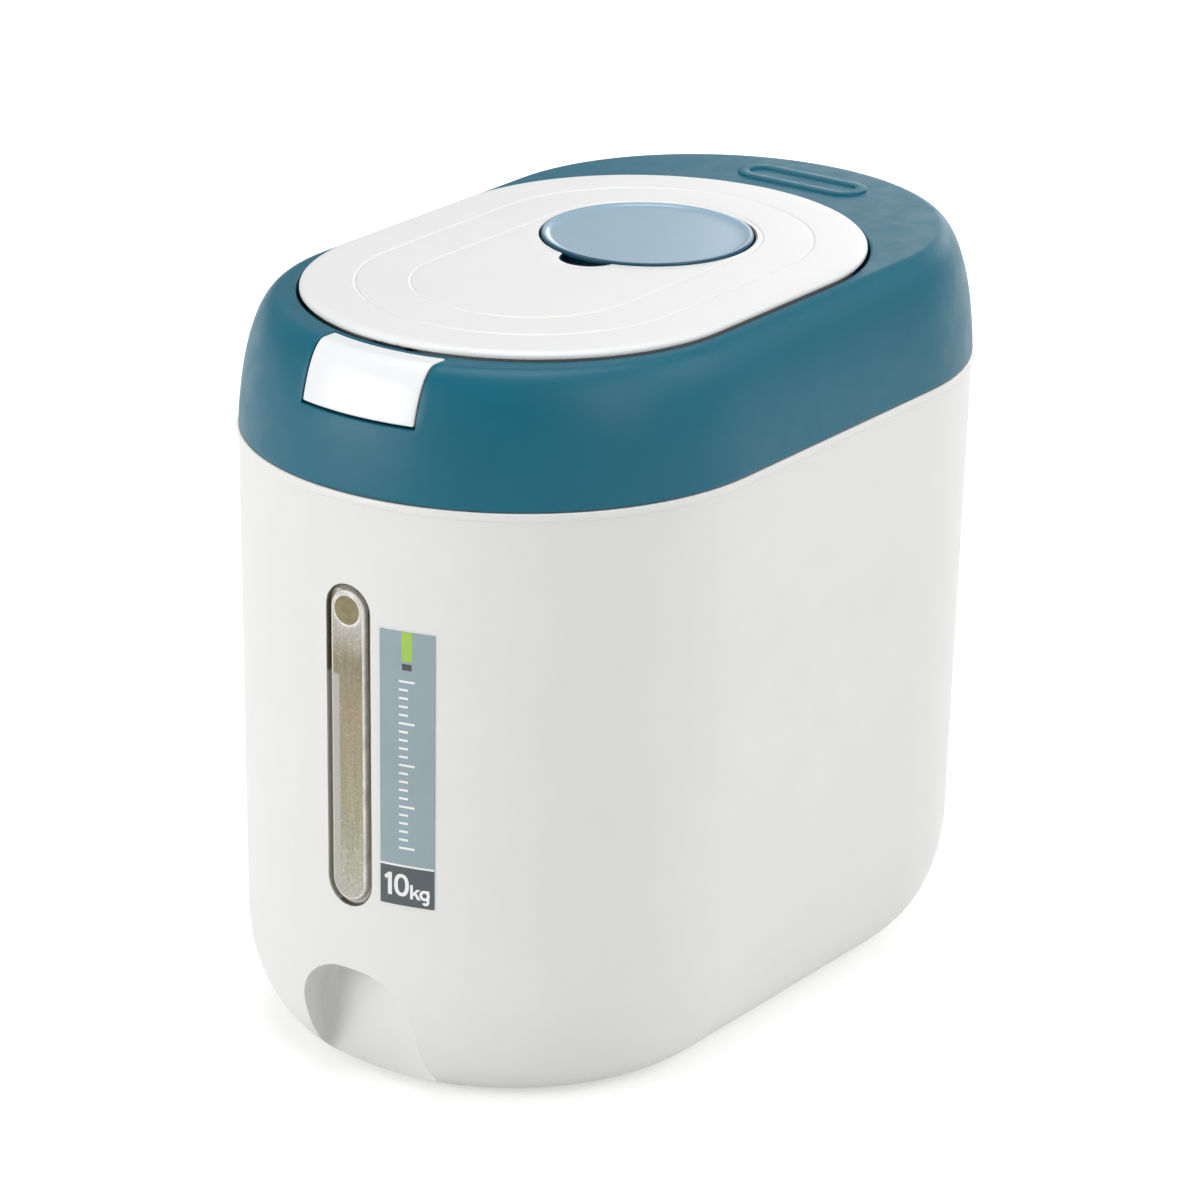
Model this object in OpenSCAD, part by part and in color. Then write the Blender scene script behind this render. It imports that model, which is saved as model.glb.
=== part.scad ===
// Rice bin with a flip lid. A tall racetrack-shaped bin carries a raised collar.
// A sprung lid flips up from the collar when the push button at the front is pressed.
// A round cap in the lid lifts off a basket that holds a moisture absorber.
// The front faces -Y, the long side runs along Y, and the feet stand on z = 0.

/* [Bin] */
// Half the straight length of the side walls
side_half = 66; // [60:1:80]
// Half width of the bin just under the collar
rim_r = 107.5; // [104:0.5:115]
// Height of the joint between bin and collar
joint_h = 250; // [240:1:300]
// Lean of the walls, in degrees
draft = 0.9; // [0.3:0.1:1.4]
// Thickness of the bin wall
wall = 2.5; // [2:0.1:3]
// Thickness of the bin floor
floor_t = 3; // [2.5:0.1:4]
// How far the bottom edge is drawn in by its rounding
bottom_in = 30; // [26:1:34]
// Height of the rounding above the base
bottom_rise = 49; // [40:1:60]
// Height of the bead round the rim
bead_h = 4; // [3:0.5:6]
// How far the bead stands proud of the wall
bead_proud = 0.6; // [0.3:0.1:0.8]
// Height of the neck that the collar fits over
neck_h = 12; // [11:0.5:14]

/* [Feet] */
// Radius of a foot pad
pad_r = 7; // [5:0.5:9]
// Thickness of a foot pad
pad_t = 2.2; // [1.8:0.1:2.4]
// How far a foot pad stands below the base
foot_proud = 1; // [0.6:0.1:1.4]
// Distance of the pads from the middle, across the bin
pad_x = 46; // [40:1:50]
// Distance of the pads beyond the straight walls, along the bin
pad_reach = 38; // [30:1:42]

/* [Hand notches] */
// Width of the notch at the foot of each end
notch_w = 54; // [48:1:60]
// Height of the top of the notch
notch_h = 54.4; // [50:0.2:58]
// Radius of the upper corners of the notch
notch_r = 24; // [18:1:26]
// Depth of the notch, from the bin's widest reach
notch_depth = 26; // [23:1:29]
// Radius of the notch's inner corners
notch_corner = 5; // [4:0.5:8]

/* [Window] */
// Width of the window
window_w = 21; // [18:0.5:24]
// Height of the window
window_h = 132.4; // [110:0.4:140]
// Height of the window's lower end
window_low = 81; // [76:1:90]
// Width of the clear border round the raised panel
window_border = 2.7; // [2:0.1:3.5]
// Width of the flange behind the wall
window_flange = 4.5; // [3.5:0.1:6]
// Thickness of the gasket behind the wall
window_gasket_t = 1; // [0.8:0.1:1.5]
// Thickness of the clear flange
window_flange_t = 1.8; // [1.4:0.1:2.4]

/* [Label] */
// Gap along the wall between the window and the label
label_gap = 4.1; // [3:0.1:8]
// Width of the label along the wall
label_w = 22.4; // [18:0.2:26]
// Height of the label
label_h = 112.4; // [100:0.4:120]
// Height of the label's lower edge
label_low = 86.6; // [80:0.2:92]
// Thickness of the label
label_t = 0.25; // [0.2:0.05:0.5]

/* [Collar] */
// Height of the collar above the joint
collar_h = 51; // [48:0.5:55]
// How far the collar's side would stand proud of the bin wall
collar_proud = 0.2; // [0:0.1:0.8]
// Thickness of the collar's skin
collar_wall = 2.6; // [2.2:0.1:2.8]
// How far the shoulder is drawn in up to the deck
shoulder_in = 16.2; // [15:0.1:17.5]
// Height over which the shoulder bends
shoulder_h = 58; // [54:1:64]
// Width of the deck beside the lid
side_lip = 1.9; // [1.6:0.1:2.6]
// Width of the deck in front of the lid
front_lip = 9; // [8:0.5:11]
// Length of the deck behind the lid
rear_deck = 48.5; // [45:0.5:53]
// Thickness of the gasket between neck and collar
gasket_t = 1.6; // [1.2:0.1:2]

/* [Mouth] */
// Depth of the ledge below the deck
ledge_drop = 17; // [16.5:0.1:18]
// Thickness of the ledge and the walls that carry it
ledge_t = 2.2; // [1.8:0.1:2.6]
// Height of the mouth's lip above the ledge
lip_h = 4; // [3.5:0.1:4.4]
// Distance from the lid opening's wall to the mouth
ledge_w = 12.2; // [11.8:0.1:12.6]

/* [Lid] */
// Gap between the lid and the collar
lid_gap = 1.2; // [0.8:0.1:1.5]
// How far the lid stands proud of the deck
lid_proud = 3.4; // [3:0.1:3.8]
// Thickness of the lid panel
lid_t = 2.8; // [2.4:0.1:3]
// Width of the lid panel's rounded edge
lid_edge = 4; // [3:0.1:5]
// Height of the lid panel's rounded edge
lid_edge_h = 2.1; // [1.6:0.1:2.2]
// Thickness of the lid liner
liner_t = 1.9; // [1.6:0.1:2.1]
// Distance of the outer groove from the lid's edge
groove_outer_in = 21.5; // [18:0.5:25]
// Distance of the inner groove from the cap's well
groove_inner_out = 2.5; // [2:0.1:4]
// Width of a groove
groove_w = 1.2; // [0.8:0.1:1.6]
// Depth of a groove
groove_d = 0.6; // [0.3:0.1:0.8]
// Thickness of the lid seal
seal_t = 3; // [2.6:0.1:3.4]
// Width of the lid seal
seal_w = 4.6; // [4:0.1:5]

/* [Hinge] */
// Distance of the hinge behind the lid opening
hinge_back = 7.4; // [7.2:0.1:7.8]
// Depth of the hinge below the deck
hinge_drop = 7.8; // [7.7:0.05:8]
// Radius of the hinge pin
pin_r = 2; // [1.6:0.1:2.2]
// Radius of the hinge bushes
bush_r = 3; // [2.8:0.1:3.2]
// Radius of the hinge barrels
barrel_r = 4.6; // [4.2:0.1:4.8]
// Width of each lid arm
arm_w = 6; // [5:0.5:7]
// Distance of the lid arms from the middle
arm_x = 16; // [15:0.5:18]
// Inner radius of the curved lid arms
arm_in = 13.4; // [13.3:0.1:13.8]
// Outer radius of the curved lid arms
arm_out = 18; // [17.6:0.1:18.2]
// Radius of the bar that ties the arms
tie_r = 1.4; // [1:0.1:1.5]
// Width of each hinge ear
ear_w = 5; // [4:0.5:6]
// Length of the hinge chamber behind the pin
chamber_back = 14; // [12:0.5:16]

/* [Push button] */
// Width of the button
button_w = 52; // [48:1:60]
// Depth of the button's lower edge below the deck
button_drop = 21.7; // [19:0.1:23]
// Width of the collar strip between button and lid
button_strip = 1.4; // [1.2:0.1:2.4]
// Gap beside the button
button_gap = 0.6; // [0.4:0.1:0.9]
// Gap above the button
button_top_gap = 0.8; // [0.6:0.1:1]
// Gap below the button
button_low_gap = 1.3; // [1.2:0.1:1.8]
// Thickness of the button's skin
button_t = 2.2; // [1.8:0.1:2.4]
// Radius of the button's pin
button_pin_r = 1.5; // [1.2:0.1:1.6]
// Radius of the button's lugs
lug_r = 2.5; // [2.2:0.1:2.6]

/* [Latch] */
// Width of the latch hook
hook_w = 14; // [12:0.5:16]
// Thickness of the latch hook
hook_t = 1.4; // [1.2:0.1:1.6]
// Height of the catch bar and of its arms
catch_h = 2.8; // [2.4:0.1:3]
// Thickness of the catch bar
catch_t = 1.8; // [1.4:0.1:1.9]

/* [Round cap] */
// Radius of the cap
cap_r = 42.2; // [40.5:0.1:43.5]
// Distance of the cap's centre behind the centre of the lid's rear curve
cap_shift = 1.9; // [0.5:0.1:3.5]
// How far the cap stands proud of the lid
cap_proud = 0.8; // [0.6:0.1:2]
// Gap round the cap
cap_gap = 0.9; // [0.6:0.1:1.4]
// Width of the cap's raised rim
cap_rim = 2; // [1.6:0.1:3]
// Depth of the dish inside the rim
cap_dish = 0.9; // [0.6:0.1:1.2]
// Thickness of the cap
cap_t = 2.9; // [2.2:0.1:3.2]
// Depth of the skirt that plugs the basket
cap_skirt = 9.6; // [8:0.2:12]
// Radius of the finger notch in the lid
finger_r = 12; // [10:0.5:14]
// How far the finger notch reaches beyond the cap's well
finger_reach = 8.5; // [7:0.5:10]
// Depth of the finger notch below the lid's top
finger_depth = 9; // [7:0.5:9.5]

/* [Basket] */
// Outer radius of the basket's cup
basket_r = 36; // [33:0.5:37]
// Depth of the basket below its flange
basket_depth = 25.6; // [20:0.4:30]
// Wall thickness of the basket
basket_wall = 1.7; // [1.4:0.1:2]
// Thickness of the basket's flange
basket_flange = 1.2; // [1:0.1:1.5]
// Radius of a hole in the basket
mesh_r = 1.6; // [1:0.1:2]
// Spacing of the rings of holes
mesh_pitch = 7; // [6:0.5:9]
// Height of the moisture absorber pack
pack_h = 12; // [8:0.5:14]

/* [Deck ring] */
// Length of the plain raised ring on the deck
ring_l = 60; // [50:1:70]
// Width of the plain raised ring across its short side
ring_w = 20; // [16:1:24]
// Width of the ring's band
ring_band = 5; // [3:0.5:6]
// Height of the ring above the deck
ring_t = 0.8; // [0.4:0.1:1]

/* [Screws] */
// Radius of a screw's shank
screw_r = 1.5; // [1.2:0.1:1.6]
// Radius of a screw's head
screw_head_r = 2.8; // [2.4:0.1:3.2]
// Height of a screw's head
screw_head_h = 1.9; // [1.5:0.1:2.2]
// Radius of a screw boss
boss_r = 3.6; // [3.2:0.1:4.2]
// Distance of the lid's screw bosses from the seal's channel
lid_screw_in = 4; // [3:0.5:6]
// Length of a cover screw's shank
cover_screw_l = 8; // [7:0.5:9]

/* [Hidden] */
$fn = 96;

// Clearances
air = 0.3;
slip = 0.05;
hair = 0.02;
glue = 0.08;
past = 1;
bite = 1;

// Colours
white = "#ecedeb";
teal = "#2b6f8e";
cap_blue = "#8fadc4";
gloss_white = "#f7f8fa";
steel = "#b9bec2";
silicone = "#d9dcda";
dark_rubber = "#3a3d40";
clear = "#a49a7c";
slate = "#93a5ac";

// Heights
base_z = foot_proud;
collar_top = joint_h + collar_h;
deck_low = collar_top - collar_wall;
ledge_top = collar_top - ledge_drop;
ledge_low = ledge_top - ledge_t;
lip_top = ledge_top + lip_h;
throat_low = ledge_low - 9.5;
lid_top = collar_top + lid_proud;
lid_low = lid_top - lid_t;
channel_low = lip_top + seal_t;
channel_top = channel_low + liner_t;
liner_low = lip_top - liner_t;
liner_top = lid_low - hair;

// Outline of the collar and of the lid
collar_r = rim_r + collar_proud;
deck_r = collar_r - shoulder_in;
opening_r = deck_r - side_lip;
lid_r = opening_r - lid_gap;
lid_front = opening_r + front_lip - side_half - deck_r;
lid_rear = side_half + deck_r - rear_deck - opening_r;
throat_in = opening_r - ledge_w;
throat_out = throat_in + ledge_t;
well_out = opening_r + ledge_t;

// The seal sits over the mouth's lip, in a channel of the liner
seal_mid = (throat_in + throat_out) / 2;
seal_in = seal_mid - seal_w / 2;
seal_out = seal_mid + seal_w / 2;
skirt_in = seal_in - air;
skirt_out = seal_out + air + liner_t;
rib_in = skirt_out + air;
rib_out = rib_in + 1.6;

// Hinge
hinge_y = lid_rear + opening_r + hinge_back;
hinge_z = collar_top - hinge_drop;
arm_end = arm_x + arm_w;
ear_x = arm_end + 1.3;
ear_end = ear_x + ear_w;
pin_end = ear_end + 2.5;
arm_rise = 3.4;
spoke_w = 4.8;
tie_y = (arm_in + arm_out) / 2 - 0.9;
slot_x = arm_end + 2;
slot_y = hinge_y - arm_out - 0.4;
tie_slot_y = hinge_y - tie_y - tie_r - 0.4;
box_x = pin_end + 2.5;
box_y = hinge_y + chamber_back;
cover_top = hinge_z - arm_out - 0.6;
cover_t = 2.2;
cover_screw_x = box_x + ledge_t + boss_r - 1;
cover_screw_ys = [box_y - boss_r - 1.4, hinge_y - barrel_r - boss_r - 1.8];

// Push button, its pocket and the latch
button_half = button_w / 2;
button_low = collar_top - button_drop;
button_top_r = opening_r + button_strip + button_top_gap;
button_in_r = deck_r - front_lip - ledge_t;
pocket_x = button_half + button_gap + 3;
pocket_low = button_low - button_low_gap - 5;
button_pin_y = -side_half - deck_r + 1.6;
button_pin_z = collar_top - button_t - lug_r - 0.1;
lug_x = 18;
lug_w = 4;
catch_y = lid_front - skirt_out - air - 0.1;
catch_low = ledge_top + 2.6;
catch_half = hook_w / 2 + 3;
catch_arm = 3;
tooth_y = catch_y - catch_t - 0.4;
hook_y = tooth_y - 1;
hook_low = ledge_top + 0.6;
tooth_h = catch_low - hook_low - air;
hook_peg_r = 1.5;
spring_pad_y = -side_half - deck_r - 2.6;
spring_y = lid_front - well_out;
spring_z = button_low + 0.1;

// Cap, well and basket
cap_y = lid_rear + cap_shift;
cap_top = lid_top + cap_proud;
well_r = cap_r + cap_gap;
well_floor = lid_top - 3.8;
well_t = 1.8;
basket_top = well_floor + basket_flange;
basket_low = well_floor - basket_depth;
basket_in = basket_r - basket_wall;
plug_r = basket_in - 0.9;
flange_r = cap_r - 2.2;
finger_y = cap_y - well_r - finger_reach + finger_r;
finger_low = lid_top - finger_depth;

// Lid screws inside the liner's channel: distances across and along the lid
lid_screw_r = skirt_in - liner_t - boss_r - lid_screw_in;
lid_screw_turn = 31;
lid_screw_places = [
    [lid_screw_r * cos(lid_screw_turn), lid_front - lid_screw_r * sin(lid_screw_turn)],
    [lid_screw_r - lid_screw_in, (lid_front + lid_rear) / 2],
    [lid_screw_r * cos(lid_screw_turn), lid_rear + lid_screw_r * sin(lid_screw_turn)]
];

// Steps of a quarter bend
bend_steps = 10;

// --- Outlines ------------------------------------------------------------

function bin_r(z) = rim_r - (joint_h - z) * tan(draft);
function shoulder_r(z, t) =
    let (k = (z - collar_top + shoulder_h) / shoulder_h)
    collar_r - t - shoulder_in * (1 - sqrt(max(0, 1 - k * k)));

// Lower rounding of the bin, seen from the side and set in by t
function bottom_curve(t, low) =
    [for (i = [bend_steps:-1:0])
        let (a = 90 * i / bend_steps, z = bottom_rise - (bottom_rise - low) * sin(a))
        [bin_r(z) - t - (bottom_in - t) * (1 - cos(a)), z]];

// Shoulder of the collar from height z0 up to its flat deck, set in by t
function shoulder_curve(z0, t) =
    let (
        base = collar_top - shoulder_h,
        rise = shoulder_h - t,
        a0 = asin((z0 - base) / rise)
    )
    [for (i = [0:bend_steps])
        let (a = a0 + (90 - a0) * i / bend_steps)
        [collar_r - t - shoulder_in * (1 - cos(a)), base + rise * sin(a)]];

// Outline of a hand notch, with t of wall added
module notch_outline(t) {
    half = notch_w / 2 + t;
    top = notch_h + t;
    r = notch_r + t;
    translate([-half, -past])
        square([2 * half, top - r + past]);
    translate([r - half, -past])
        square([2 * (half - r), top + past]);
    for (side = [-1, 1])
        translate([side * (half - r), top - r])
            circle(r);
}

module slot_outline(w, h) {
    for (z = [w / 2, h - w / 2])
        translate([0, z])
            circle(w / 2);
    translate([-w / 2, w / 2])
        square([w, h - w]);
}

// Sweeps a profile of radius and height round a racetrack whose centres lie at y0 and y1
module racetrack(y0, y1) {
    translate([0, y1, 0])
        rotate_extrude(angle = 180)
            children();
    translate([0, y0, 0])
        rotate([0, 0, 180])
            rotate_extrude(angle = 180)
                children();
    translate([0, (y0 + y1) / 2, 0])
        rotate([90, 0, 0])
            linear_extrude(y1 - y0, center = true) {
                children();
                mirror([1, 0])
                    children();
            }
}

// Solid racetrack plate of radius r between two heights
module racetrack_plate(y0, y1, r, z0, z1) {
    translate([0, 0, z0])
        linear_extrude(z1 - z0) {
            translate([0, y0])
                circle(r);
            translate([0, y1])
                circle(r);
            translate([-r, y0])
                square([2 * r, y1 - y0]);
        }
}

module lid_plate(r, z0, z1) {
    racetrack_plate(lid_front, lid_rear, r, z0, z1);
}

module block(x0, x1, y0, y1, z0, z1) {
    translate([x0, y0, z0])
        cube([x1 - x0, y1 - y0, z1 - z0]);
}

module post(x, y, z0, z1, r) {
    translate([x, y, z0])
        cylinder(h = z1 - z0, r = r);
}

// Bar along X between x0 and x1
module cross_bar(x0, x1, y, z, r) {
    translate([x0, y, z])
        rotate([0, 90, 0])
            cylinder(h = x1 - x0, r = r);
}

// --- Bin -----------------------------------------------------------------

shoulder_z = joint_h - 0.4;
neck_out = rim_r - 3.1;
neck_in = neck_out - wall;
neck_top = joint_h + neck_h;
snap_z = joint_h + 7;
snap_out = 0.7;
core_top = notch_h + 3 * wall;

module bin_shell_profile() {
    low = base_z + floor_t;
    outer = bottom_curve(0, base_z);
    inner = bottom_curve(wall, low);
    polygon(concat(
        [[0, base_z]],
        outer,
        [
            [bin_r(joint_h - bead_h), joint_h - bead_h],
            [rim_r + bead_proud, joint_h - bead_h + bead_proud],
            [rim_r + bead_proud, shoulder_z],
            [neck_out, shoulder_z],
            [neck_out, snap_z - 1],
            [neck_out + snap_out, snap_z],
            [neck_out + snap_out, snap_z + 0.6],
            [neck_out, snap_z + 1.8],
            [neck_out, neck_top],
            [neck_in, neck_top],
            [neck_in, joint_h - 3],
            [bin_r(joint_h - 8) - wall, joint_h - 8]
        ],
        [for (i = [bend_steps:-1:0]) inner[i]],
        [[0, low]]
    ));
}

module bin_core_profile() {
    polygon(concat(
        [[0, base_z + 1]],
        bottom_curve(wall / 2, base_z + 1),
        [[bin_r(core_top) - wall / 2, core_top], [0, core_top]]
    ));
}

// Space of the hand notch at the front end, with t of wall added
module notch_space(t) {
    back = -side_half - rim_r + notch_depth + t;
    half = notch_w / 2 + t;
    r = notch_corner + t;
    front = -side_half - rim_r - past;
    intersection() {
        translate([0, back, 0])
            rotate([90, 0, 0])
                linear_extrude(back - front)
                    notch_outline(t);
        translate([0, 0, -past])
            linear_extrude(core_top) {
                translate([-half, front])
                    square([2 * half, back - r - front]);
                translate([r - half, front])
                    square([2 * (half - r), back - front]);
                for (side = [-1, 1])
                    translate([side * (half - r), back - r])
                        circle(r);
            }
    }
}

module both_ends() {
    children();
    rotate([0, 0, 180])
        children();
}

module bin_body() {
    color(white)
        difference() {
            union() {
                racetrack(-side_half, side_half)
                    bin_shell_profile();
                intersection() {
                    racetrack(-side_half, side_half)
                        bin_core_profile();
                    both_ends()
                        notch_space(wall);
                }
            }
            both_ends()
                notch_space(0);
            window_column(window_w, 0);
            for (x = [-1, 1], y = [-1, 1])
                post(x * pad_x, y * (side_half + pad_reach), -past, pad_t, pad_r + slip);
        }
}

module foot_pads() {
    color(dark_rubber)
        for (x = [-1, 1], y = [-1, 1])
            post(x * pad_x, y * (side_half + pad_reach), 0, pad_t, pad_r);
}

// Upright column through the front wall with the window's outline, grown by t all round
module window_column(w, t) {
    grown = w + 2 * t;
    trimmed_h = window_h - window_w + grown;
    translate([0, -side_half - rim_r / 2, window_low + window_h / 2 - trimmed_h / 2])
        rotate([90, 0, 0])
            linear_extrude(rim_r)
                slot_outline(grown, trimmed_h);
}

// Stretch of the front wall between two depths from its outer face
module front_wall(depth0, depth1) {
    z0 = window_low - 2 * window_flange;
    z1 = window_low + window_h + 2 * window_flange;
    fan = 4 * asin(window_w / rim_r);
    translate([0, -side_half, 0])
        rotate([0, 0, -90 - fan / 2])
            rotate_extrude(angle = fan)
                polygon([
                    [bin_r(z0) - depth1, z0],
                    [bin_r(z0) - depth0, z0],
                    [bin_r(z1) - depth0, z1],
                    [bin_r(z1) - depth1, z1]
                ]);
}

gasket_back = wall + window_gasket_t;
plug_fit = 0.15;
border_sunk = 0.7;
panel_proud = 0.3;

module window_lens() {
    color(clear) {
        intersection() {
            front_wall(border_sunk, gasket_back + window_flange_t / 2);
            window_column(window_w, -plug_fit);
        }
        intersection() {
            front_wall(-panel_proud, wall);
            window_column(window_w, -window_border - plug_fit);
        }
        intersection() {
            front_wall(gasket_back, gasket_back + window_flange_t);
            window_column(window_w, window_flange);
        }
    }
}

module window_gasket() {
    color(dark_rubber)
        difference() {
            intersection() {
                front_wall(wall + glue, gasket_back - glue);
                window_column(window_w, window_flange - 0.5);
            }
            window_column(window_w, 0);
        }
}

module capacity_label() {
    mid_r = bin_r(label_low + label_h / 2);
    start = (window_w / 2 + label_gap) / mid_r * 180 / PI;
    sweep = label_w / mid_r * 180 / PI;
    z1 = label_low + label_h;
    color(slate)
        translate([0, -side_half, 0])
            rotate([0, 0, start - 90])
                rotate_extrude(angle = sweep)
                    polygon([
                        [bin_r(label_low) + glue, label_low],
                        [bin_r(label_low) + glue + label_t, label_low],
                        [bin_r(z1) + glue + label_t, z1],
                        [bin_r(z1) + glue, z1]
                    ]);
}

// --- Collar --------------------------------------------------------------

register_r = neck_out + air;
gasket_seat = neck_top + gasket_t;
rib_low = gasket_seat;
rib_t = 2;

module collar_skin_profile() {
    outer = shoulder_curve(joint_h, 0);
    inner = shoulder_curve(rib_low + rib_t + 1.5, collar_wall);
    polygon(concat(
        outer,
        [[0, collar_top], [0, deck_low]],
        [for (i = [bend_steps:-1:0]) inner[i]],
        [
            [neck_in - 0.5, rib_low + rib_t],
            [neck_in - 0.5, rib_low],
            [register_r, rib_low],
            [register_r, snap_z + 2.2],
            [register_r + snap_out, snap_z + 1],
            [register_r + snap_out, snap_z - 0.4],
            [register_r, snap_z - 1.4],
            [register_r, joint_h]
        ]
    ));
}

// Solid that ends in the middle of the collar's skin
module collar_core() {
    racetrack(-side_half, side_half)
        polygon(concat(
            [[0, joint_h + neck_h]],
            shoulder_curve(joint_h + neck_h, collar_wall / 2),
            [[0, collar_top - collar_wall / 2]]
        ));
}

module well_profile() {
    polygon([
        [throat_in, throat_low],
        [throat_out, throat_low],
        [throat_out, ledge_low],
        [well_out, ledge_low],
        [well_out, deck_low + bite],
        [opening_r, deck_low + bite],
        [opening_r, ledge_top],
        [throat_out, ledge_top],
        [throat_out, lip_top],
        [throat_in, lip_top]
    ]);
}

// Walls of the pocket behind the push button
module button_pocket() {
    wall_x = pocket_x + 2;
    far = -side_half - collar_r;
    difference() {
        intersection() {
            collar_core();
            block(-wall_x, wall_x, far, lid_front - opening_r / 2, pocket_low - 2, deck_low + bite);
        }
        block(-pocket_x, pocket_x, far, lid_front, pocket_low, deck_low + 2 * bite);
        lid_plate(opening_r + ledge_t / 2, pocket_low, collar_top);
        lid_plate(opening_r + 0.01, pocket_low - 3, pocket_low);
    }
    intersection() {
        racetrack(lid_front, lid_rear)
            polygon([
                [opening_r, pocket_low - 2],
                [well_out, pocket_low - 2],
                [well_out, ledge_low + bite],
                [opening_r, ledge_low + bite]
            ]);
        block(-wall_x, wall_x, far, lid_front - opening_r / 2, pocket_low - 3, ledge_top);
    }
}

// Walls of the chamber round the hinge, open below for its cover
module hinge_chamber() {
    difference() {
        block(-box_x - ledge_t, box_x + ledge_t, lid_rear, box_y + ledge_t,
            cover_top + 0.2, deck_low + bite);
        block(-box_x, box_x, lid_rear, box_y, cover_top, deck_low + 2 * bite);
        lid_plate(opening_r + ledge_t / 2, ledge_low + bite, collar_top);
        lid_plate(throat_in + ledge_t / 2, cover_top - 1, ledge_low + 2 * bite);
    }
    for (x = [-1, 1]) {
        for (y = cover_screw_ys)
            post(x * cover_screw_x, y, cover_top + 0.2,
                (y > hinge_y ? deck_low : ledge_low) + bite, boss_r);
        difference() {
            block(min(x * ear_x, x * ear_end), max(x * ear_x, x * ear_end), hinge_y - barrel_r,
                hinge_y + barrel_r, hinge_z - barrel_r, deck_low + bite);
            cross_bar(-pin_end, pin_end, hinge_y, hinge_z, pin_r + hair);
        }
    }
}

// Space that the lid arms and their tie bar swing through
module arm_slots() {
    block(-slot_x, slot_x, tie_slot_y, hinge_y - 2, ledge_low - past, deck_low);
    for (x = [-1, 1])
        block(min(x * (arm_x - 1), x * slot_x), max(x * (arm_x - 1), x * slot_x), slot_y, hinge_y - 2,
            ledge_low - past, deck_low);
}

// Opening for the push button, through the shoulder and the deck
module button_opening() {
    half = button_half + button_gap;
    difference() {
        block(-half, half, -side_half - collar_r - past, lid_front - opening_r / 2,
            button_low - button_low_gap, collar_top + past);
        lid_plate(button_top_r - button_top_gap, button_low - 2 * past, collar_top + 2 * past);
    }
}

// Gap in the well's front wall for the arms of the catch
module catch_slot() {
    half = catch_half + 1.5;
    block(-half, half, lid_front - well_out - past, lid_front - opening_r + 6, catch_low - past,
        catch_low + catch_h + 2.2);
}

module ring_outline(r) {
    half = (ring_l - ring_w) / 2;
    for (x = [-half, half])
        translate([x, 0])
            circle(r);
    translate([-half, -r])
        square([2 * half, 2 * r]);
}

module deck_ring() {
    translate([0, lid_rear + opening_r + rear_deck / 2, collar_top - bite])
        linear_extrude(ring_t + bite)
            difference() {
                ring_outline(ring_w / 2);
                ring_outline(ring_w / 2 - ring_band);
            }
}

module collar() {
    color(teal)
        difference() {
            union() {
                difference() {
                    racetrack(-side_half, side_half)
                        collar_skin_profile();
                    lid_plate(opening_r, ledge_top, collar_top + past);
                }
                racetrack(lid_front, lid_rear)
                    well_profile();
                button_pocket();
                hinge_chamber();
                deck_ring();
            }
            button_opening();
            catch_slot();
            arm_slots();
            cross_bar(-pocket_x - 1.4, pocket_x + 1.4, button_pin_y, button_pin_z, button_pin_r + hair);
            for (x = [-1, 1], y = cover_screw_ys)
                post(x * cover_screw_x, y, cover_top - 1,
                    cover_top + cover_screw_l - cover_t + 0.5, screw_r + slip);
        }
}

module collar_gasket() {
    color(silicone)
        racetrack(-side_half, side_half)
            polygon([
                [neck_in + 0.1, neck_top],
                [neck_out - 0.1, neck_top],
                [neck_out - 0.1, gasket_seat],
                [neck_in + 0.1, gasket_seat]
            ]);
}

module hinge_cover() {
    edge_x = cover_screw_x + boss_r;
    edge_y = box_y + ledge_t + 1;
    color(teal)
        difference() {
            block(-edge_x, edge_x, lid_rear + throat_out / 2, edge_y, cover_top - cover_t, cover_top);
            lid_plate(throat_out + air, cover_top - cover_t - past, cover_top + past);
            for (x = [-1, 1], y = cover_screw_ys)
                post(x * cover_screw_x, y, cover_top - cover_t - past, cover_top + past, screw_r + 0.1);
        }
}

module screw(x, y, z, length) {
    post(x, y, z - screw_head_h, z, screw_head_r);
    post(x, y, z - hair, z + length, screw_r);
}

module cover_screws() {
    color(steel)
        for (x = [-1, 1], y = cover_screw_ys)
            screw(x * cover_screw_x, y, cover_top - cover_t, cover_screw_l);
}

// --- Hinge and button hardware -------------------------------------------

module hinge_pin() {
    color(steel)
        cross_bar(-pin_end, pin_end, hinge_y, hinge_z, pin_r);
}

clip_x = ear_end + 0.9;
clip_t = 0.8;

module pin_clips() {
    color(steel)
        for (x = [-1, 1])
            difference() {
                cross_bar(x * clip_x - clip_t / 2, x * clip_x + clip_t / 2,
                    hinge_y, hinge_z, pin_r + 1.6);
                cross_bar(-pin_end - past, pin_end + past, hinge_y, hinge_z, pin_r + hair);
            }
}

// Tube of round section through a list of points, as one closed mesh
module tube(points, r, sides) {
    n = len(points);
    function ahead(i) = points[min(i + 1, n - 1)] - points[max(i - 1, 0)];
    function unit(v) = v / norm(v);
    ring_points = [for (i = [0:n - 1])
        let (
            t = unit(ahead(i)),
            side = abs(t[0]) > 0.8 ? [0, 0, 1] : [1, 0, 0],
            u = unit(cross(t, side)),
            v = cross(t, u)
        )
        for (k = [0:sides - 1])
            points[i] + r * (cos(360 * k / sides) * u + sin(360 * k / sides) * v)];
    skin = [for (i = [0:n - 2], k = [0:sides - 1])
        let (a = i * sides + k, b = i * sides + (k + 1) % sides)
        each [[a, b, b + sides], [a, b + sides, a + sides]]];
    low_end = [for (k = [1:sides - 2]) [0, k + 1, k]];
    high_end = [for (k = [1:sides - 2]) [(n - 1) * sides, (n - 1) * sides + k, (n - 1) * sides + k + 1]];
    polyhedron(ring_points, concat(skin, low_end, high_end));
}

coil_wire = 0.55;
coil_r = pin_r + 1.7;
coil_turns = 6;
coil_half = 10;
coil_steps = 12;

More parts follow.
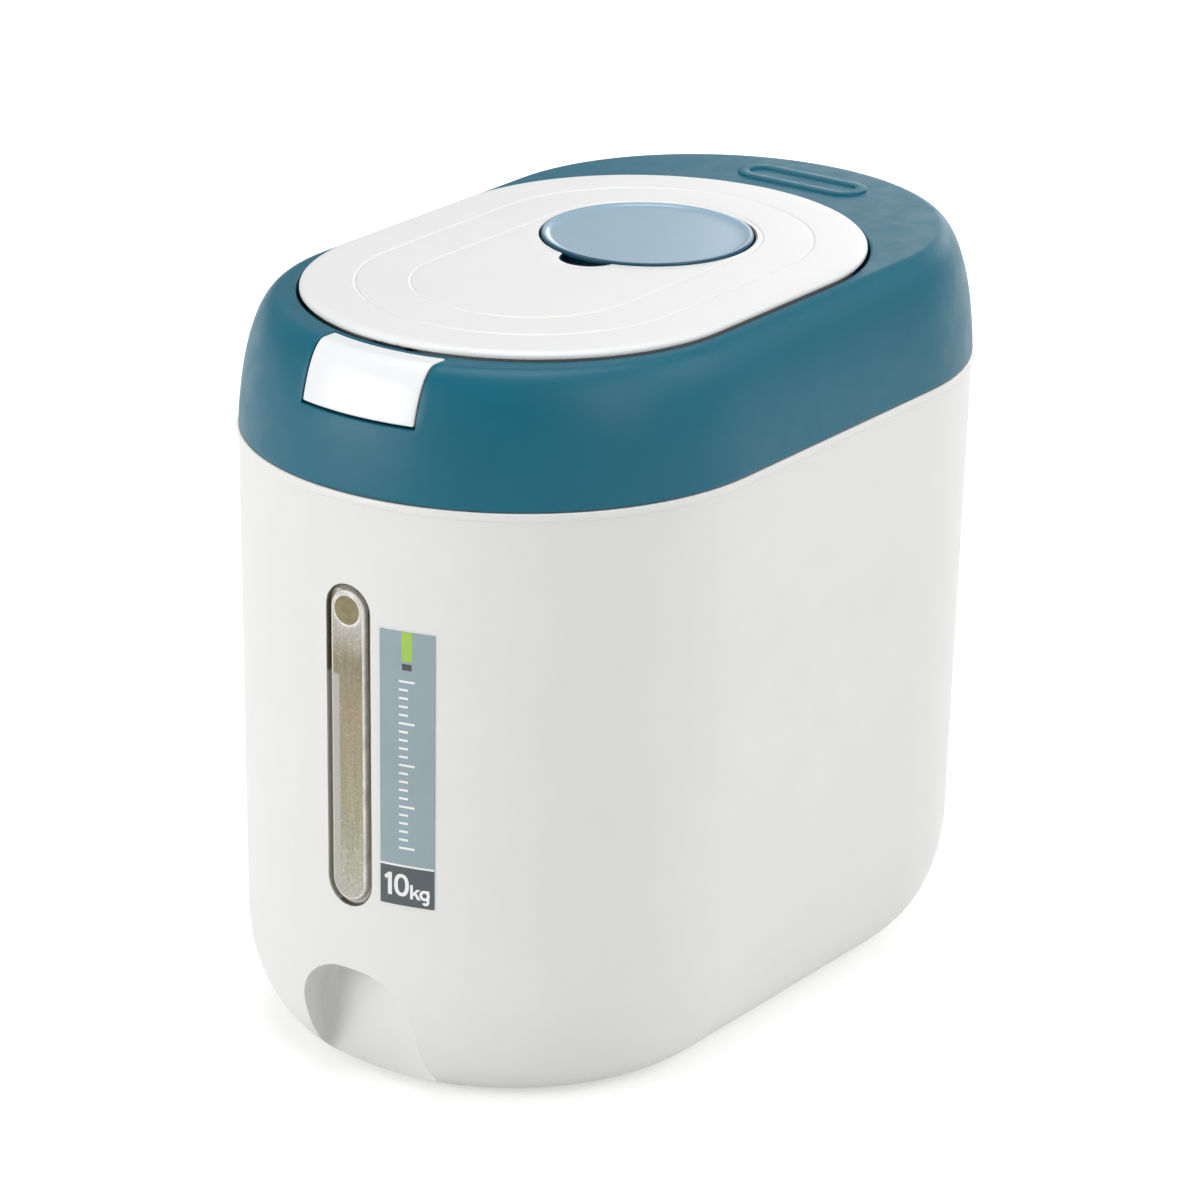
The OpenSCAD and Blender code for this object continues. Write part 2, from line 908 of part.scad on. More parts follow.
module hinge_spring() {
    coil = [for (i = [0:coil_turns * coil_steps])
        let (a = 360 * i / coil_steps, x = -coil_half + 2 * coil_half * i / (coil_turns * coil_steps))
        [x, hinge_y - coil_r * sin(a), hinge_z - coil_r * cos(a)]];
    rest_leg = [-coil_half, hinge_y + 9, hinge_z - coil_r + 0.2];
    lid_leg = [coil_half + 0.4, hinge_y - 1.2, hinge_z - tie_y + tie_r + coil_wire + 0.2];
    color(steel)
        tube(concat([rest_leg], coil, [lid_leg]), coil_wire, 6);
}

module button_pin() {
    color(steel)
        cross_bar(-pocket_x - 1.2, pocket_x + 1.2, button_pin_y, button_pin_z, button_pin_r);
}

press_wire = 0.4;
press_r = 2.2;
press_turns = 5;

module button_spring() {
    y0 = spring_pad_y + press_wire + 0.1;
    y1 = spring_y - press_wire - 0.3;
    steps = press_turns * coil_steps;
    color(steel)
        tube([for (i = [0:steps])
            let (a = 360 * i / coil_steps)
            [press_r * cos(a), y0 + (y1 - y0) * i / steps, spring_z + press_r * sin(a)]], press_wire, 6);
}

module push_button() {
    half = button_half;
    color(gloss_white)
        difference() {
            union() {
                intersection() {
                    racetrack(-side_half, side_half)
                        polygon(concat(
                            shoulder_curve(joint_h, 0),
                            [[button_in_r, collar_top], [button_in_r, collar_top - button_t]],
                            [for (i = [bend_steps:-1:0]) shoulder_curve(joint_h, button_t)[i]]
                        ));
                    difference() {
                        block(-half, half, -side_half - collar_r - past, lid_front - opening_r / 2,
                            button_low, collar_top + past);
                        lid_plate(button_top_r, button_low - past, collar_top + 2 * past);
                    }
                }
                for (x = [-1, 1]) {
                    cross_bar(x * lug_x - lug_w / 2, x * lug_x + lug_w / 2, button_pin_y, button_pin_z,
                        lug_r);
                    block(x * lug_x - lug_w / 2, x * lug_x + lug_w / 2, button_pin_y - lug_r,
                        button_pin_y + lug_r, button_pin_z, collar_top - button_t + 0.4);
                }
                button_backing();
            }
            cross_bar(-half, half, button_pin_y, button_pin_z, button_pin_r + slip);
        }
}

// Catch frame and spring pad behind the button's skin
module button_backing() {
    front_y = -side_half - shoulder_r(catch_low + catch_h, button_t) - 0.8;
    arm_mid = catch_half - catch_arm / 2;
    for (x = [-arm_mid, arm_mid])
        block(x - catch_arm / 2, x + catch_arm / 2, front_y, catch_y, catch_low, catch_low + catch_h);
    block(-catch_half, catch_half, catch_y - catch_t, catch_y, catch_low, catch_low + catch_h);
    block(-catch_half, catch_half, front_y, spring_pad_y, catch_low, catch_low + catch_h);
    block(-4, 4, spring_pad_y - 2, spring_pad_y, spring_z - 3, catch_low + catch_h);
}

// --- Lid -----------------------------------------------------------------

module groove(y0, y1, r) {
    racetrack(y0, y1)
        polygon([
            [r - groove_w / 2, lid_top + past],
            [r - groove_w / 2, lid_top],
            [r, lid_top - groove_d],
            [r + groove_w / 2, lid_top],
            [r + groove_w / 2, lid_top + past]
        ]);
}

module finger_shape(grow, z0, z1) {
    difference() {
        post(0, finger_y, z0, z1, finger_r + grow);
        post(0, cap_y, z0 - past, z1 + past, well_r - 2.2 - grow);
    }
}

edge_steps = 4;

module lid_panel() {
    color(white)
        difference() {
            union() {
                racetrack(lid_front, lid_rear)
                    polygon(concat(
                        [[0, lid_low], [lid_r, lid_low]],
                        [for (i = [0:edge_steps])
                            let (a = 90 * i / edge_steps)
                            [lid_r - lid_edge * (1 - cos(a)), lid_top - lid_edge_h * (1 - sin(a))]],
                        [[0, lid_top]]
                    ));
                difference() {
                    racetrack(lid_front, lid_rear)
                        polygon([
                            [rib_in, lid_low - 5],
                            [rib_out, lid_low - 5],
                            [rib_out, lid_low + bite],
                            [rib_in, lid_low + bite]
                        ]);
                    block(-arm_end - 3, arm_end + 3, lid_rear, lid_rear + lid_r, lid_low - 6, lid_low);
                    block(-hook_w / 2 - 2, hook_w / 2 + 2, lid_front - lid_r, lid_front,
                        lid_low - 6, lid_low);
                }
                post(0, cap_y, well_floor - well_t, lid_low + bite, well_r + well_t);
                finger_shape(well_t, finger_low - well_t, lid_low + bite);
                for (x = [-1, 1], p = lid_screw_places)
                    post(x * p[0], p[1], lip_top + 0.2, lid_low + bite, boss_r);
            }
            post(0, cap_y, well_floor, lid_top + past, well_r);
            post(0, cap_y, finger_low - 2 * well_t, lid_top, basket_r + air);
            finger_shape(0, finger_low, lid_top + past);
            groove(lid_front, lid_rear, lid_r - groove_outer_in);
            groove(lid_front, cap_y, well_r + groove_inner_out);
            for (x = [-1, 1], p = lid_screw_places)
                post(x * p[0], p[1], liner_low, lid_low - 0.4, screw_r + slip);
            for (x = [-1, 1])
                post(x * hook_w / 4, hook_peg_y, lid_low - past, lid_low + 1.2, hook_peg_r + slip);
        }
}

module lid_arm(x) {
    translate([x, hinge_y, hinge_z])
        rotate([90, 0, 90])
            linear_extrude(arm_w)
                difference() {
                    union() {
                        intersection() {
                            difference() {
                                circle(arm_out);
                                circle(arm_in);
                            }
                            translate([-arm_out, -arm_out])
                                square([arm_out + spoke_w / 2, arm_out + arm_rise]);
                        }
                        translate([-spoke_w / 2, -arm_in - 1])
                            square([spoke_w, arm_in]);
                        circle(barrel_r);
                    }
                    circle(bush_r + hair);
                }
}

module lid_liner() {
    color(white) {
        difference() {
            union() {
                racetrack(lid_front, lid_rear)
                    polygon([
                        [0, liner_low],
                        [skirt_in, liner_low],
                        [skirt_in, channel_low],
                        [skirt_out, channel_low],
                        [skirt_out, liner_top],
                        [skirt_out - liner_t, liner_top],
                        [skirt_out - liner_t, channel_top],
                        [skirt_in - liner_t, channel_top],
                        [skirt_in - liner_t, lip_top],
                        [0, lip_top]
                    ]);
                for (x = [-arm_end, arm_x])
                    lid_arm(x);
                cross_bar(-arm_x - 1, arm_x + 1, hinge_y, hinge_z - tie_y, tie_r);
            }
            post(0, cap_y, liner_low - past, lip_top + past, basket_r + 0.5);
            for (x = [-1, 1], p = lid_screw_places)
                post(x * p[0], p[1], liner_low - past, lip_top + past, screw_r + 0.1);
        }
    }
}

module lid_seal() {
    color(silicone)
        difference() {
            lid_plate(seal_out, lip_top, channel_low);
            lid_plate(seal_in, lip_top - past, channel_low + past);
        }
}

hook_peg_y = tooth_y - 1.2;

module latch_hook() {
    half = hook_w / 2;
    color(gloss_white) {
        block(-half, half, hook_y - hook_t, hook_y, hook_low, lid_low);
        block(-half, half, hook_y - hook_t, tooth_y, hook_low, hook_low + tooth_h);
        block(-half, half, hook_y - hook_t, catch_y - 0.5, catch_low + catch_h + 5, lid_low);
        for (x = [-1, 1])
            post(x * hook_w / 4, hook_peg_y, lid_low - 0.5, lid_low + 1, hook_peg_r);
    }
}

module hinge_bushes() {
    color(gloss_white)
        for (x = [-1, 1])
            difference() {
                union() {
                    cross_bar(min(x * arm_x, x * (arm_end + 1)), max(x * arm_x, x * (arm_end + 1)),
                        hinge_y, hinge_z, bush_r);
                    cross_bar(min(x * (arm_end + hair), x * (arm_end + 1)),
                        max(x * (arm_end + hair), x * (arm_end + 1)), hinge_y, hinge_z, bush_r + 1);
                }
                cross_bar(-pin_end, pin_end, hinge_y, hinge_z, pin_r + slip);
            }
}

module lid_screws() {
    color(steel)
        for (x = [-1, 1], p = lid_screw_places)
            screw(x * p[0], p[1], liner_low, lid_low - liner_low - 2);
}

mesh_rings = floor((basket_in - mesh_r - 2) / mesh_pitch);

module desiccant_basket() {
    color(white)
        translate([0, cap_y, 0])
            difference() {
                rotate_extrude()
                    polygon([
                        [0, basket_low],
                        [basket_r, basket_low],
                        [basket_r, well_floor],
                        [flange_r, well_floor],
                        [flange_r, basket_top],
                        [basket_in, basket_top],
                        [basket_in, basket_low + basket_wall],
                        [0, basket_low + basket_wall]
                    ]);
                post(0, 0, basket_low - past, basket_low + 2 * basket_wall, mesh_r);
                for (ring = [1:mesh_rings], k = [1:6 * ring])
                    rotate([0, 0, 60 * k / ring])
                        post(ring * mesh_pitch, 0, basket_low - past, basket_low + 2 * basket_wall, mesh_r);
            }
}

module desiccant_pack() {
    r = basket_in - 1;
    soft = pack_h / 4;
    low = basket_low + basket_wall + 0.1;
    color("#e4e0d6")
        translate([0, cap_y, low])
            rotate_extrude()
                polygon([
                    [0, 0],
                    [r - soft, 0],
                    [r, soft],
                    [r, pack_h - soft],
                    [r - soft, pack_h],
                    [0, pack_h]
                ]);
}

// --- Round cap -----------------------------------------------------------

seal_groove = cap_skirt - 4;

module round_cap() {
    round = 0.5;
    groove_z = basket_top - seal_groove;
    color(cap_blue)
        translate([0, cap_y, 0])
            rotate_extrude()
                polygon([
                    [0, cap_top - cap_dish],
                    [cap_r - cap_rim - cap_dish, cap_top - cap_dish],
                    [cap_r - cap_rim, cap_top],
                    [cap_r - round, cap_top],
                    [cap_r, cap_top - round],
                    [cap_r, cap_top - 2],
                    [cap_r - 2.4, basket_top],
                    [plug_r, basket_top],
                    [plug_r, groove_z + 1.2],
                    [plug_r - 0.8, groove_z + 1.2],
                    [plug_r - 0.8, groove_z - 1.2],
                    [plug_r, groove_z - 1.2],
                    [plug_r, basket_top - cap_skirt],
                    [plug_r - 2.2, basket_top - cap_skirt],
                    [plug_r - 2.2, cap_top - cap_dish - cap_t],
                    [0, cap_top - cap_dish - cap_t]
                ]);
}

module cap_seal() {
    groove_z = basket_top - seal_groove;
    color(silicone)
        translate([0, cap_y, 0])
            rotate_extrude()
                polygon([
                    [plug_r - 0.8 + hair, groove_z - 1.2 + slip],
                    [plug_r + 0.3, groove_z - 0.8],
                    [plug_r + 0.6, groove_z],
                    [plug_r + 0.3, groove_z + 0.8],
                    [plug_r - 0.8 + hair, groove_z + 1.2 - slip]
                ]);
}

bin_body();
window_lens();
window_gasket();
capacity_label();
foot_pads();
collar();
collar_gasket();
hinge_cover();
cover_screws();
hinge_pin();
pin_clips();
hinge_spring();
button_pin();
button_spring();
lid_panel();
lid_liner();
lid_seal();
latch_hook();
hinge_bushes();
lid_screws();
desiccant_basket();
desiccant_pack();
push_button();
round_cap();
cap_seal();
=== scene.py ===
"""Looks of a rice bin with a flip lid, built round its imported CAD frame."""

import contextlib
import math

import bmesh
import bpy
from mathutils import Matrix, Vector


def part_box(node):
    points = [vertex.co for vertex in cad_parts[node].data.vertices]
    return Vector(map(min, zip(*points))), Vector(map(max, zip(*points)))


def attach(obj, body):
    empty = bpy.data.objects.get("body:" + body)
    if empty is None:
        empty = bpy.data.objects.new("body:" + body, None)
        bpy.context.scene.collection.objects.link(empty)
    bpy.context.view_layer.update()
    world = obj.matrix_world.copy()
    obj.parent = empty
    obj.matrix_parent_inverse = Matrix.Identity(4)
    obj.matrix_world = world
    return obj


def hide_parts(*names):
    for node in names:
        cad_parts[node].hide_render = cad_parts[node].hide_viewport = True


bl_info = {
    "name": "Rice bin with flip lid",
    "version": (1, 0, 0),
    "blender": (4, 5, 0),
    "location": "3D View > Sidebar > Rice bin",
    "description": "Builds the surfaces and finishes of a rice bin round its frame",
    "category": "Object",
}

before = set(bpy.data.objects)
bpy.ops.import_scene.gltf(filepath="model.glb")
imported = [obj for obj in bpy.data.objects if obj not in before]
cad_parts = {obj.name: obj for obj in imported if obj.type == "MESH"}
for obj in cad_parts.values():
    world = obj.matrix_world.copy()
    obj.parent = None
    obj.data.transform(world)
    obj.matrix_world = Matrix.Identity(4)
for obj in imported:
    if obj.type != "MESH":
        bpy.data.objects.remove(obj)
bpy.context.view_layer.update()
MM = 0.001

# Sizes in millimetres that the surfaces share with the frame
SPINE = 66.0             # half the straight length of the side walls
JOINT_Z = 250.0          # joint between bin and collar
DECK_Z = 301.0           # flat deck of the collar
DECK_R = 91.5
COLLAR_R = 107.7
SHOULDER_H = 58.0
OPENING_R = 89.6
THROAT_R = 77.4          # inner radius of the mouth
REAR_DECK = 48.5         # length of the deck behind the lid
LID_FRONT, LID_REAR = -58.9, 19.4
LID_R, LID_LOW, LID_TOP = 88.4, 301.6, 304.4
LID_EDGE_W, LID_EDGE_H = 4.0, 2.1
CAP_Y, CAP_R, CAP_TOP, WELL_R = 21.3, 42.2, 305.2, 43.1
FINGER_Y, FINGER_R = -18.3, 12.0
BUTTON_HALF, BUTTON_LOW = 26.0, 279.3
BUTTON_STRIP = 1.4       # width of the collar's strip between button and lid
BUTTON_IN_R = 91.8       # radius of the button's rear edge round the lid's front centre
HINGE_Y, HINGE_Z = 116.4, 293.2
WINDOW_HALF, WINDOW_LOW, WINDOW_TOP = 10.5, 81.0, 213.4
LABEL_START, LABEL_W, LABEL_LOW, LABEL_TOP = 14.6, 22.4, 86.6, 199.0
FIGURE_H = 9.3
PRESS_ROOM = 1.5         # room that the pressed button takes up in front of its coil spring
SHEEN_TOP = 176.0        # height up to which the window's left side mirrors the room
CLOUD_MM, GLOSS_PATCH_MM = 38.0, 9.0    # unevenness of pigment and of gloss in a moulding
STYRENE_IOR = 1.57


def linear(hex_colour):
    """Linear RGB of an sRGB hex colour."""
    parts = [int(hex_colour[i:i + 2], 16) / 255 for i in (1, 3, 5)]
    return tuple(c / 12.92 if c <= 0.04045 else ((c + 0.055) / 1.055) ** 2.4 for c in parts)


# ---------------------------------------------------------------- settings

def length_property(name, description, default, low, high):
    """A length given in millimetres and kept in Blender's own unit."""
    return bpy.props.FloatProperty(
        name=name, description=description, subtype="DISTANCE", unit="LENGTH", precision=5,
        default=default * MM, min=low * MM, max=high * MM)


class RiceBinSizes(bpy.types.PropertyGroup):
    groove_width: length_property(
        "Groove width", "Width of the engraved lines in the lid", 2.0, 0.8, 3.0)
    groove_depth: length_property(
        "Groove depth", "Depth of the engraved lines in the lid", 0.4, 0.2, 1.0)
    edge_round: length_property(
        "Edge rounding", "Radius of the hand notches' edges", 0.9, 0.2, 1.5)
    arc_steps: bpy.props.IntProperty(
        name="Arc steps", description="Steps of each quarter of the rounded ends",
        default=18, min=6, max=40)
    scale_marks: bpy.props.IntProperty(
        name="Scale marks", description="Number of marks on the label's level scale",
        default=21, min=5, max=41)


def colour_property(name, hex_colour, description):
    return bpy.props.FloatVectorProperty(
        name=name, description=description, subtype="COLOR", size=3, min=0.0, max=1.0,
        default=linear(hex_colour))


class RiceBinColours(bpy.types.PropertyGroup):
    bin: colour_property("Bin", "#e6e6e4", "Colour of the moulded bin")
    lid: colour_property("Lid", "#eaebea", "Colour of the lid panel")
    collar: colour_property("Collar", "#086075", "Colour of the collar")
    cap: colour_property("Round cap", "#92b0c4", "Colour of the round cap")
    button: colour_property("Push button", "#eef0f2", "Colour of the push button")
    label: colour_property("Label", "#8fa2a9", "Ground colour of the printed label")
    slate: colour_property("Capacity box", "#434e52", "Colour of the label's capacity box")
    lime: colour_property("Label bar", "#9bc54c", "Colour of the bar at the label's top")


def sizes():
    return bpy.context.scene.rice_bin_sizes


def colours():
    return bpy.context.scene.rice_bin_colours


# --------------------------------------------------------------- materials

def fill(tree, node, values):
    """Sets or links a node's inputs; a node given as a value is linked by its live output."""
    for key, value in values.items():
        socket = node.inputs[key]
        if isinstance(value, bpy.types.Node):
            value = next(output for output in value.outputs if output.enabled)
        if isinstance(value, bpy.types.NodeSocket):
            tree.links.new(value, socket)
        elif socket.type == "RGBA":
            socket.default_value = (*value[:3], 1)
        else:
            socket.default_value = value


def add(tree, kind, values=None, stops=(), **attributes):
    """Adds a node with its attributes, its inputs and the stops of its colour ramp."""
    node = tree.nodes.new(kind)
    for key, value in attributes.items():
        setattr(node, key, value)
    fill(tree, node, values or {})
    for i, (position, colour) in enumerate(stops):
        elements = node.color_ramp.elements
        stop = elements[i] if i < 2 else elements.new(position)
        stop.position, stop.color = position, (*colour, 1)
    return node


class Finish:
    """A new material with its node tree, its shader and its Object coordinates."""

    def __init__(self, name):
        self.material = bpy.data.materials.new(name)
        self.material.use_nodes = True
        self.tree = self.material.node_tree
        self.shader = self.tree.nodes["Principled BSDF"]
        self.place = add(self.tree, "ShaderNodeTexCoord").outputs["Object"]

    def add(self, kind, values=None, stops=(), **attributes):
        return add(self.tree, kind, values, stops, **attributes)

    def grains(self, size_mm, detail=2.0, place=None):
        """Settings of a noise whose grains are about size_mm across."""
        return {"Vector": place or self.place, "Scale": 1 / (size_mm * MM), "Detail": detail,
                "Roughness": 0.55}

    def pigment(self, size_mm, colour, spread, detail=2.0, place=None):
        """Colour that wanders a little round its mean in clouds of a size, as pigment does."""
        cloud = self.add("ShaderNodeTexNoise", self.grains(size_mm, detail, place))
        return self.add("ShaderNodeValToRGB", {"Fac": cloud}, (
            (0.3, [c * (1 - spread) for c in colour]),
            (0.7, [min(1, c * (1 + spread)) for c in colour])))

    def waves(self, size_mm, low, high, detail=2.0):
        """Roughness that wanders between two levels in patches of a size."""
        cloud = self.add("ShaderNodeTexNoise", self.grains(size_mm, detail))
        return self.add("ShaderNodeMapRange", {
            "Value": cloud, "From Min": 0.3, "From Max": 0.7, "To Min": low, "To Max": high})

    def heights(self, *stops):
        """Colour that changes with height, from stops of (height in millimetres, hex colour)."""
        low, high = stops[0][0], stops[-1][0]
        split = self.add("ShaderNodeSeparateXYZ", {"Vector": self.place})
        level = self.add("ShaderNodeMapRange", {
            "Value": split.outputs["Z"], "From Min": low * MM, "From Max": high * MM})
        return self.add("ShaderNodeValToRGB", {"Fac": level}, [
            ((z - low) / (high - low), linear(colour)) for z, colour in stops])

    def shaded(self, colour, *layers):
        """Colour multiplied in turn by patterns, each of (share, pattern)."""
        for share, pattern in layers:
            colour = self.add("ShaderNodeMix", {0: share, 6: colour, 7: pattern},
                              data_type="RGBA", blend_type="MULTIPLY")
        return colour

    def sheened(self, edge_mm, colour, sheen):
        """Colour that turns to a sheen left of an edge, low down, where the clear insert
        mirrors the pale room."""
        split = self.add("ShaderNodeSeparateXYZ", {"Vector": self.place})
        masks = [self.add("ShaderNodeMapRange", {
            "Value": split.outputs[axis], "From Min": (mid + soft) * MM,
            "From Max": (mid - soft) * MM})
            for axis, mid, soft in (("X", edge_mm, 0.4), ("Z", SHEEN_TOP, 0.6))]
        both = self.add("ShaderNodeMath", {0: masks[0], 1: masks[1]}, operation="MULTIPLY")
        return self.add("ShaderNodeMix", {0: both, 6: colour, 7: linear(sheen)},
                        data_type="RGBA")

    def made(self, **values):
        """Fills the shader's inputs and gives the material."""
        fill(self.tree, self.shader, {key.replace("_", " "): v for key, v in values.items()})
        return self.material


def moulded(name, colour, roughness, grain_mm, height_mm, spread, **values):
    """Injection-moulded plastic: even pigment, a mould's fine grain and slight waves of gloss."""
    finish = Finish(name)
    grain = finish.add("ShaderNodeTexNoise", finish.grains(grain_mm, 3.0))
    bump = finish.add("ShaderNodeBump", {
        "Height": grain, "Strength": 0.6, "Distance": height_mm * MM})
    return finish.made(
        Base_Color=finish.pigment(CLOUD_MM, colour, spread), Normal=bump,
        Roughness=finish.waves(GLOSS_PATCH_MM, roughness * 0.9, roughness * 1.1, 3.0), **values)


def satin_polypropylene():
    # Moulded polypropylene: milky white, a soft broad sheen and a barely felt orange peel
    return moulded("satin_moulded_polypropylene", colours().bin, 0.34, 1.6, 0.012, 0.01)


def satin_lid_plastic():
    # The lid is moulded in the same plastic with a slightly finer, whiter face
    return moulded("satin_moulded_lid_polypropylene", colours().lid, 0.38, 1.1, 0.010, 0.008)


def natural_polypropylene():
    # Unpainted inner mouldings: a duller white
    return moulded("natural_moulded_polypropylene", linear("#e2e3e0"), 0.45, 1.2, 0.015, 0.012)


def dark_latch_painted_shade():
    # Moulded acetal of the latch: dark and slightly waxy, its darkness partly painted shade so that
    # it hides in the lid's gap
    return moulded("moulded_grey_acetal", linear("#2d3538"), 0.5, 1.0, 0.012, 0.02)


def teal_abs():
    # Moulded ABS with an eroded mould face: deep teal, a soft sheen broken by fine grain.
    # The real grain is about 0.1 mm; it is drawn at 0.5 mm so that it shows.
    return moulded("grained_moulded_abs", colours().collar, 0.42, 0.5, 0.012, 0.03, IOR=1.38)


def blue_abs():
    # Polished moulded ABS, lighter than the collar, that mirrors the room softly
    return moulded("polished_moulded_abs", colours().cap, 0.245, 6.0, 0.004, 0.004,
                   Coat_Weight=0.3, Coat_Roughness=0.15)


def teal_gloss_abs_painted_shade():
    # The cap's edge and underside, the lid's well and the desiccant basket: the collar's teal,
    # polished, darker than the sky-lit top, and partly painted shade in the gap under the cap's rim
    # and deep in the finger notch
    return moulded("polished_teal_abs_painted_shade", linear("#164d64"), 0.31, 2.2, 0.008, 0.02)


def gloss_abs():
    # Gloss-moulded white ABS: brighter than its neighbours, with soft wide highlights
    return moulded("gloss_moulded_abs", colours().button, 0.31, 4.0, 0.006, 0.004,
                   Coat_Weight=0.3, Coat_Roughness=0.2)


def dark_rubber():
    # Moulded EPDM: near black, matt, with a fine dusty grain
    return moulded("moulded_epdm_rubber", linear("#37393b"), 0.75, 0.6, 0.02, 0.08)


def clear_styrene():
    # Clear moulded styrene with a warm tint, paler towards the foot: speckled where dust clings to
    # its back, with fine flow lines down its height, and white just under its boss as a painted
    # reflection
    finish = Finish("clear_moulded_styrene")
    # Tint by height; the white stop at 206 mm is a painted reflection just under the boss
    tint_and_painted_reflection = finish.heights(
        (84, "#dbdad0"), (94, "#cfceb8"), (112, "#c2c19f"), (136, "#bdb392"), (160, "#b8a482"),
        (182, "#a69873"), (206, "#ffffff"), (206, "#847850"))
    speck = finish.pigment(1.0, (0.82, 0.82, 0.82), 0.3, 4.0)
    drawn_out = finish.add("ShaderNodeMapping", {"Vector": finish.place, "Scale": (1.0, 1.0, 0.09)},
                           vector_type="POINT")
    streak = finish.pigment(1.6, (0.88, 0.87, 0.84), 0.14, place=drawn_out)
    grainy = finish.shaded(tint_and_painted_reflection, (0.9, speck), (0.9, streak))
    dots = finish.add("ShaderNodeTexVoronoi", {"Vector": finish.place, "Scale": 1 / (3.2 * MM)})
    dusty = finish.add("ShaderNodeMapRange", {
        "Value": dots, "From Min": 0.08, "From Max": 0.16, "To Min": 0.55, "To Max": 0.0})
    dust = finish.add("ShaderNodeMix", {0: dusty, 6: grainy, 7: linear("#e6e0cf")},
                      data_type="RGBA")
    return finish.made(
        Base_Color=finish.sheened(-3.9, dust, "#bab8ae"), Roughness=0.14, IOR=STYRENE_IOR,
        Transmission_Weight=0.15, Coat_Weight=0.5, Coat_Roughness=0.04)


def clear_rim_styrene():
    # The insert's sunk border: clear, brown in the wall's painted shade near the top and pale
    # below, with a painted highlight in white at its very top
    finish = Finish("clear_rim_styrene_painted_shade")
    # The brown stops are painted shade; the white stop at 210 mm is a painted highlight
    shade = finish.heights((80, "#d6d4cb"), (110, "#b9b6a9"), (170, "#a39d89"), (180, "#7d7355"),
                           (203, "#6d6142"), (210, "#ffffff"), (210, "#8d8674"))
    mottled = finish.shaded(shade, (0.6, finish.pigment(6.0, (0.85, 0.85, 0.85), 0.17, 3.0)))
    return finish.made(
        Base_Color=finish.sheened(-4.5, mottled, "#c4c2b8"), IOR=STYRENE_IOR,
        Roughness=finish.waves(6.0, 0.05, 0.1, 3.0), Coat_Weight=0.5, Coat_Roughness=0.03)


def shaded_styrene():
    # The insert's lip against the bin's wall: brown where it stands in its own shade
    finish = Finish("shaded_clear_styrene")
    brown = finish.pigment(12.0, linear("#4a3d26"), 0.1)
    return finish.made(Base_Color=finish.sheened(-4.5, brown, "#8f8d85"), Roughness=0.2,
                       IOR=STYRENE_IOR)


def bright_bevel_styrene():
    # Bevels of the clear panel, polished and bright where they gather the light
    finish = Finish("bright_bevel_styrene")
    polished = finish.pigment(5.0, linear("#dddbd3"), 0.18, 3.0)
    return finish.made(Base_Color=finish.sheened(-3.9, polished, "#c6c4bb"), IOR=STYRENE_IOR,
                       Roughness=finish.waves(5.0, 0.08, 0.2, 3.0))


def boss_styrene():
    # Thick clear boss: the deepest tint of the insert, with swirls left by the gate
    finish = Finish("thick_clear_styrene")
    return finish.made(Base_Color=finish.pigment(4.0, linear("#7b6e43"), 0.25, 5.0),
                       Roughness=0.12, IOR=STYRENE_IOR, Coat_Weight=0.4, Coat_Roughness=0.05)


def printed_film(name, colour):
    # Printed polyester film: flat ink under a smooth satin lacquer, with a fine screen grain
    finish = Finish(name)
    return finish.made(Base_Color=finish.pigment(16.0, colour, 0.03),
                       Roughness=finish.waves(0.5, 0.30, 0.40, 1.0),
                       Coat_Weight=0.25, Coat_Roughness=0.2)


def silicone_rubber():
    # Moulded silicone: milky grey, soft sheen, slightly see-through
    finish = Finish("moulded_silicone")
    return finish.made(Base_Color=finish.pigment(6.0, linear("#d6d9d7"), 0.02),
                       Roughness=finish.waves(6.0, 0.42, 0.55), Subsurface_Weight=0.15,
                       Subsurface_Radius=(2 * MM, 2 * MM, 2 * MM), IOR=1.41)


def zinc_plated_steel():
    # Turned steel with bright zinc plating: fine turning lines and a grey-blue gleam
    finish = Finish("zinc_plated_turned_steel")
    return finish.made(Base_Color=finish.pigment(0.4, linear("#b4b9bc"), 0.06),
                       Roughness=finish.waves(0.4, 0.24, 0.38), Metallic=1.0)


def drawn_spring_steel():
    # Drawn and oiled spring wire: darker, with the fine marks of the die
    finish = Finish("drawn_spring_steel")
    return finish.made(Base_Color=finish.pigment(0.3, linear("#8d9092"), 0.10, 3.0),
                       Roughness=finish.waves(0.3, 0.28, 0.42, 3.0), Metallic=1.0)


def bonded_fibre_paper():
    # Non-woven paper: pressed fibres that catch the light unevenly. They are about 0.3 mm
    # apart, drawn at 0.9 mm so that they show.
    finish = Finish("bonded_fibre_paper")
    fibre = finish.add("ShaderNodeTexVoronoi", {"Vector": finish.place, "Scale": 1 / (0.9 * MM)},
                       feature="DISTANCE_TO_EDGE")
    bump = finish.add("ShaderNodeBump", {"Height": fibre, "Strength": 0.5, "Distance": 0.06 * MM})
    return finish.made(Base_Color=finish.pigment(2.5, linear("#e2ddd0"), 0.06, 4.0),
                       Roughness=0.85, Normal=bump)


MADE = {}


def finish_of(maker, *args):
    """The material of a maker, made once."""
    key = (maker.__name__,) + args[:1]
    if key not in MADE:
        MADE[key] = maker(*args)
    return MADE[key]


# ------------------------------------------------------------ mesh helpers

SMOOTH_ANGLE = 32.0      # faces that meet at less than this many degrees are smoothed


def new_object(name, data):
    obj = bpy.data.objects.new(name, data)
    bpy.context.scene.collection.objects.link(obj)
    return obj


@contextlib.contextmanager
def edited(mesh):
    """A bmesh of a mesh that is written back to it at the end."""
    bm = bmesh.new()
    bm.from_mesh(mesh)
    yield bm
    bm.to_mesh(mesh)
    bm.free()


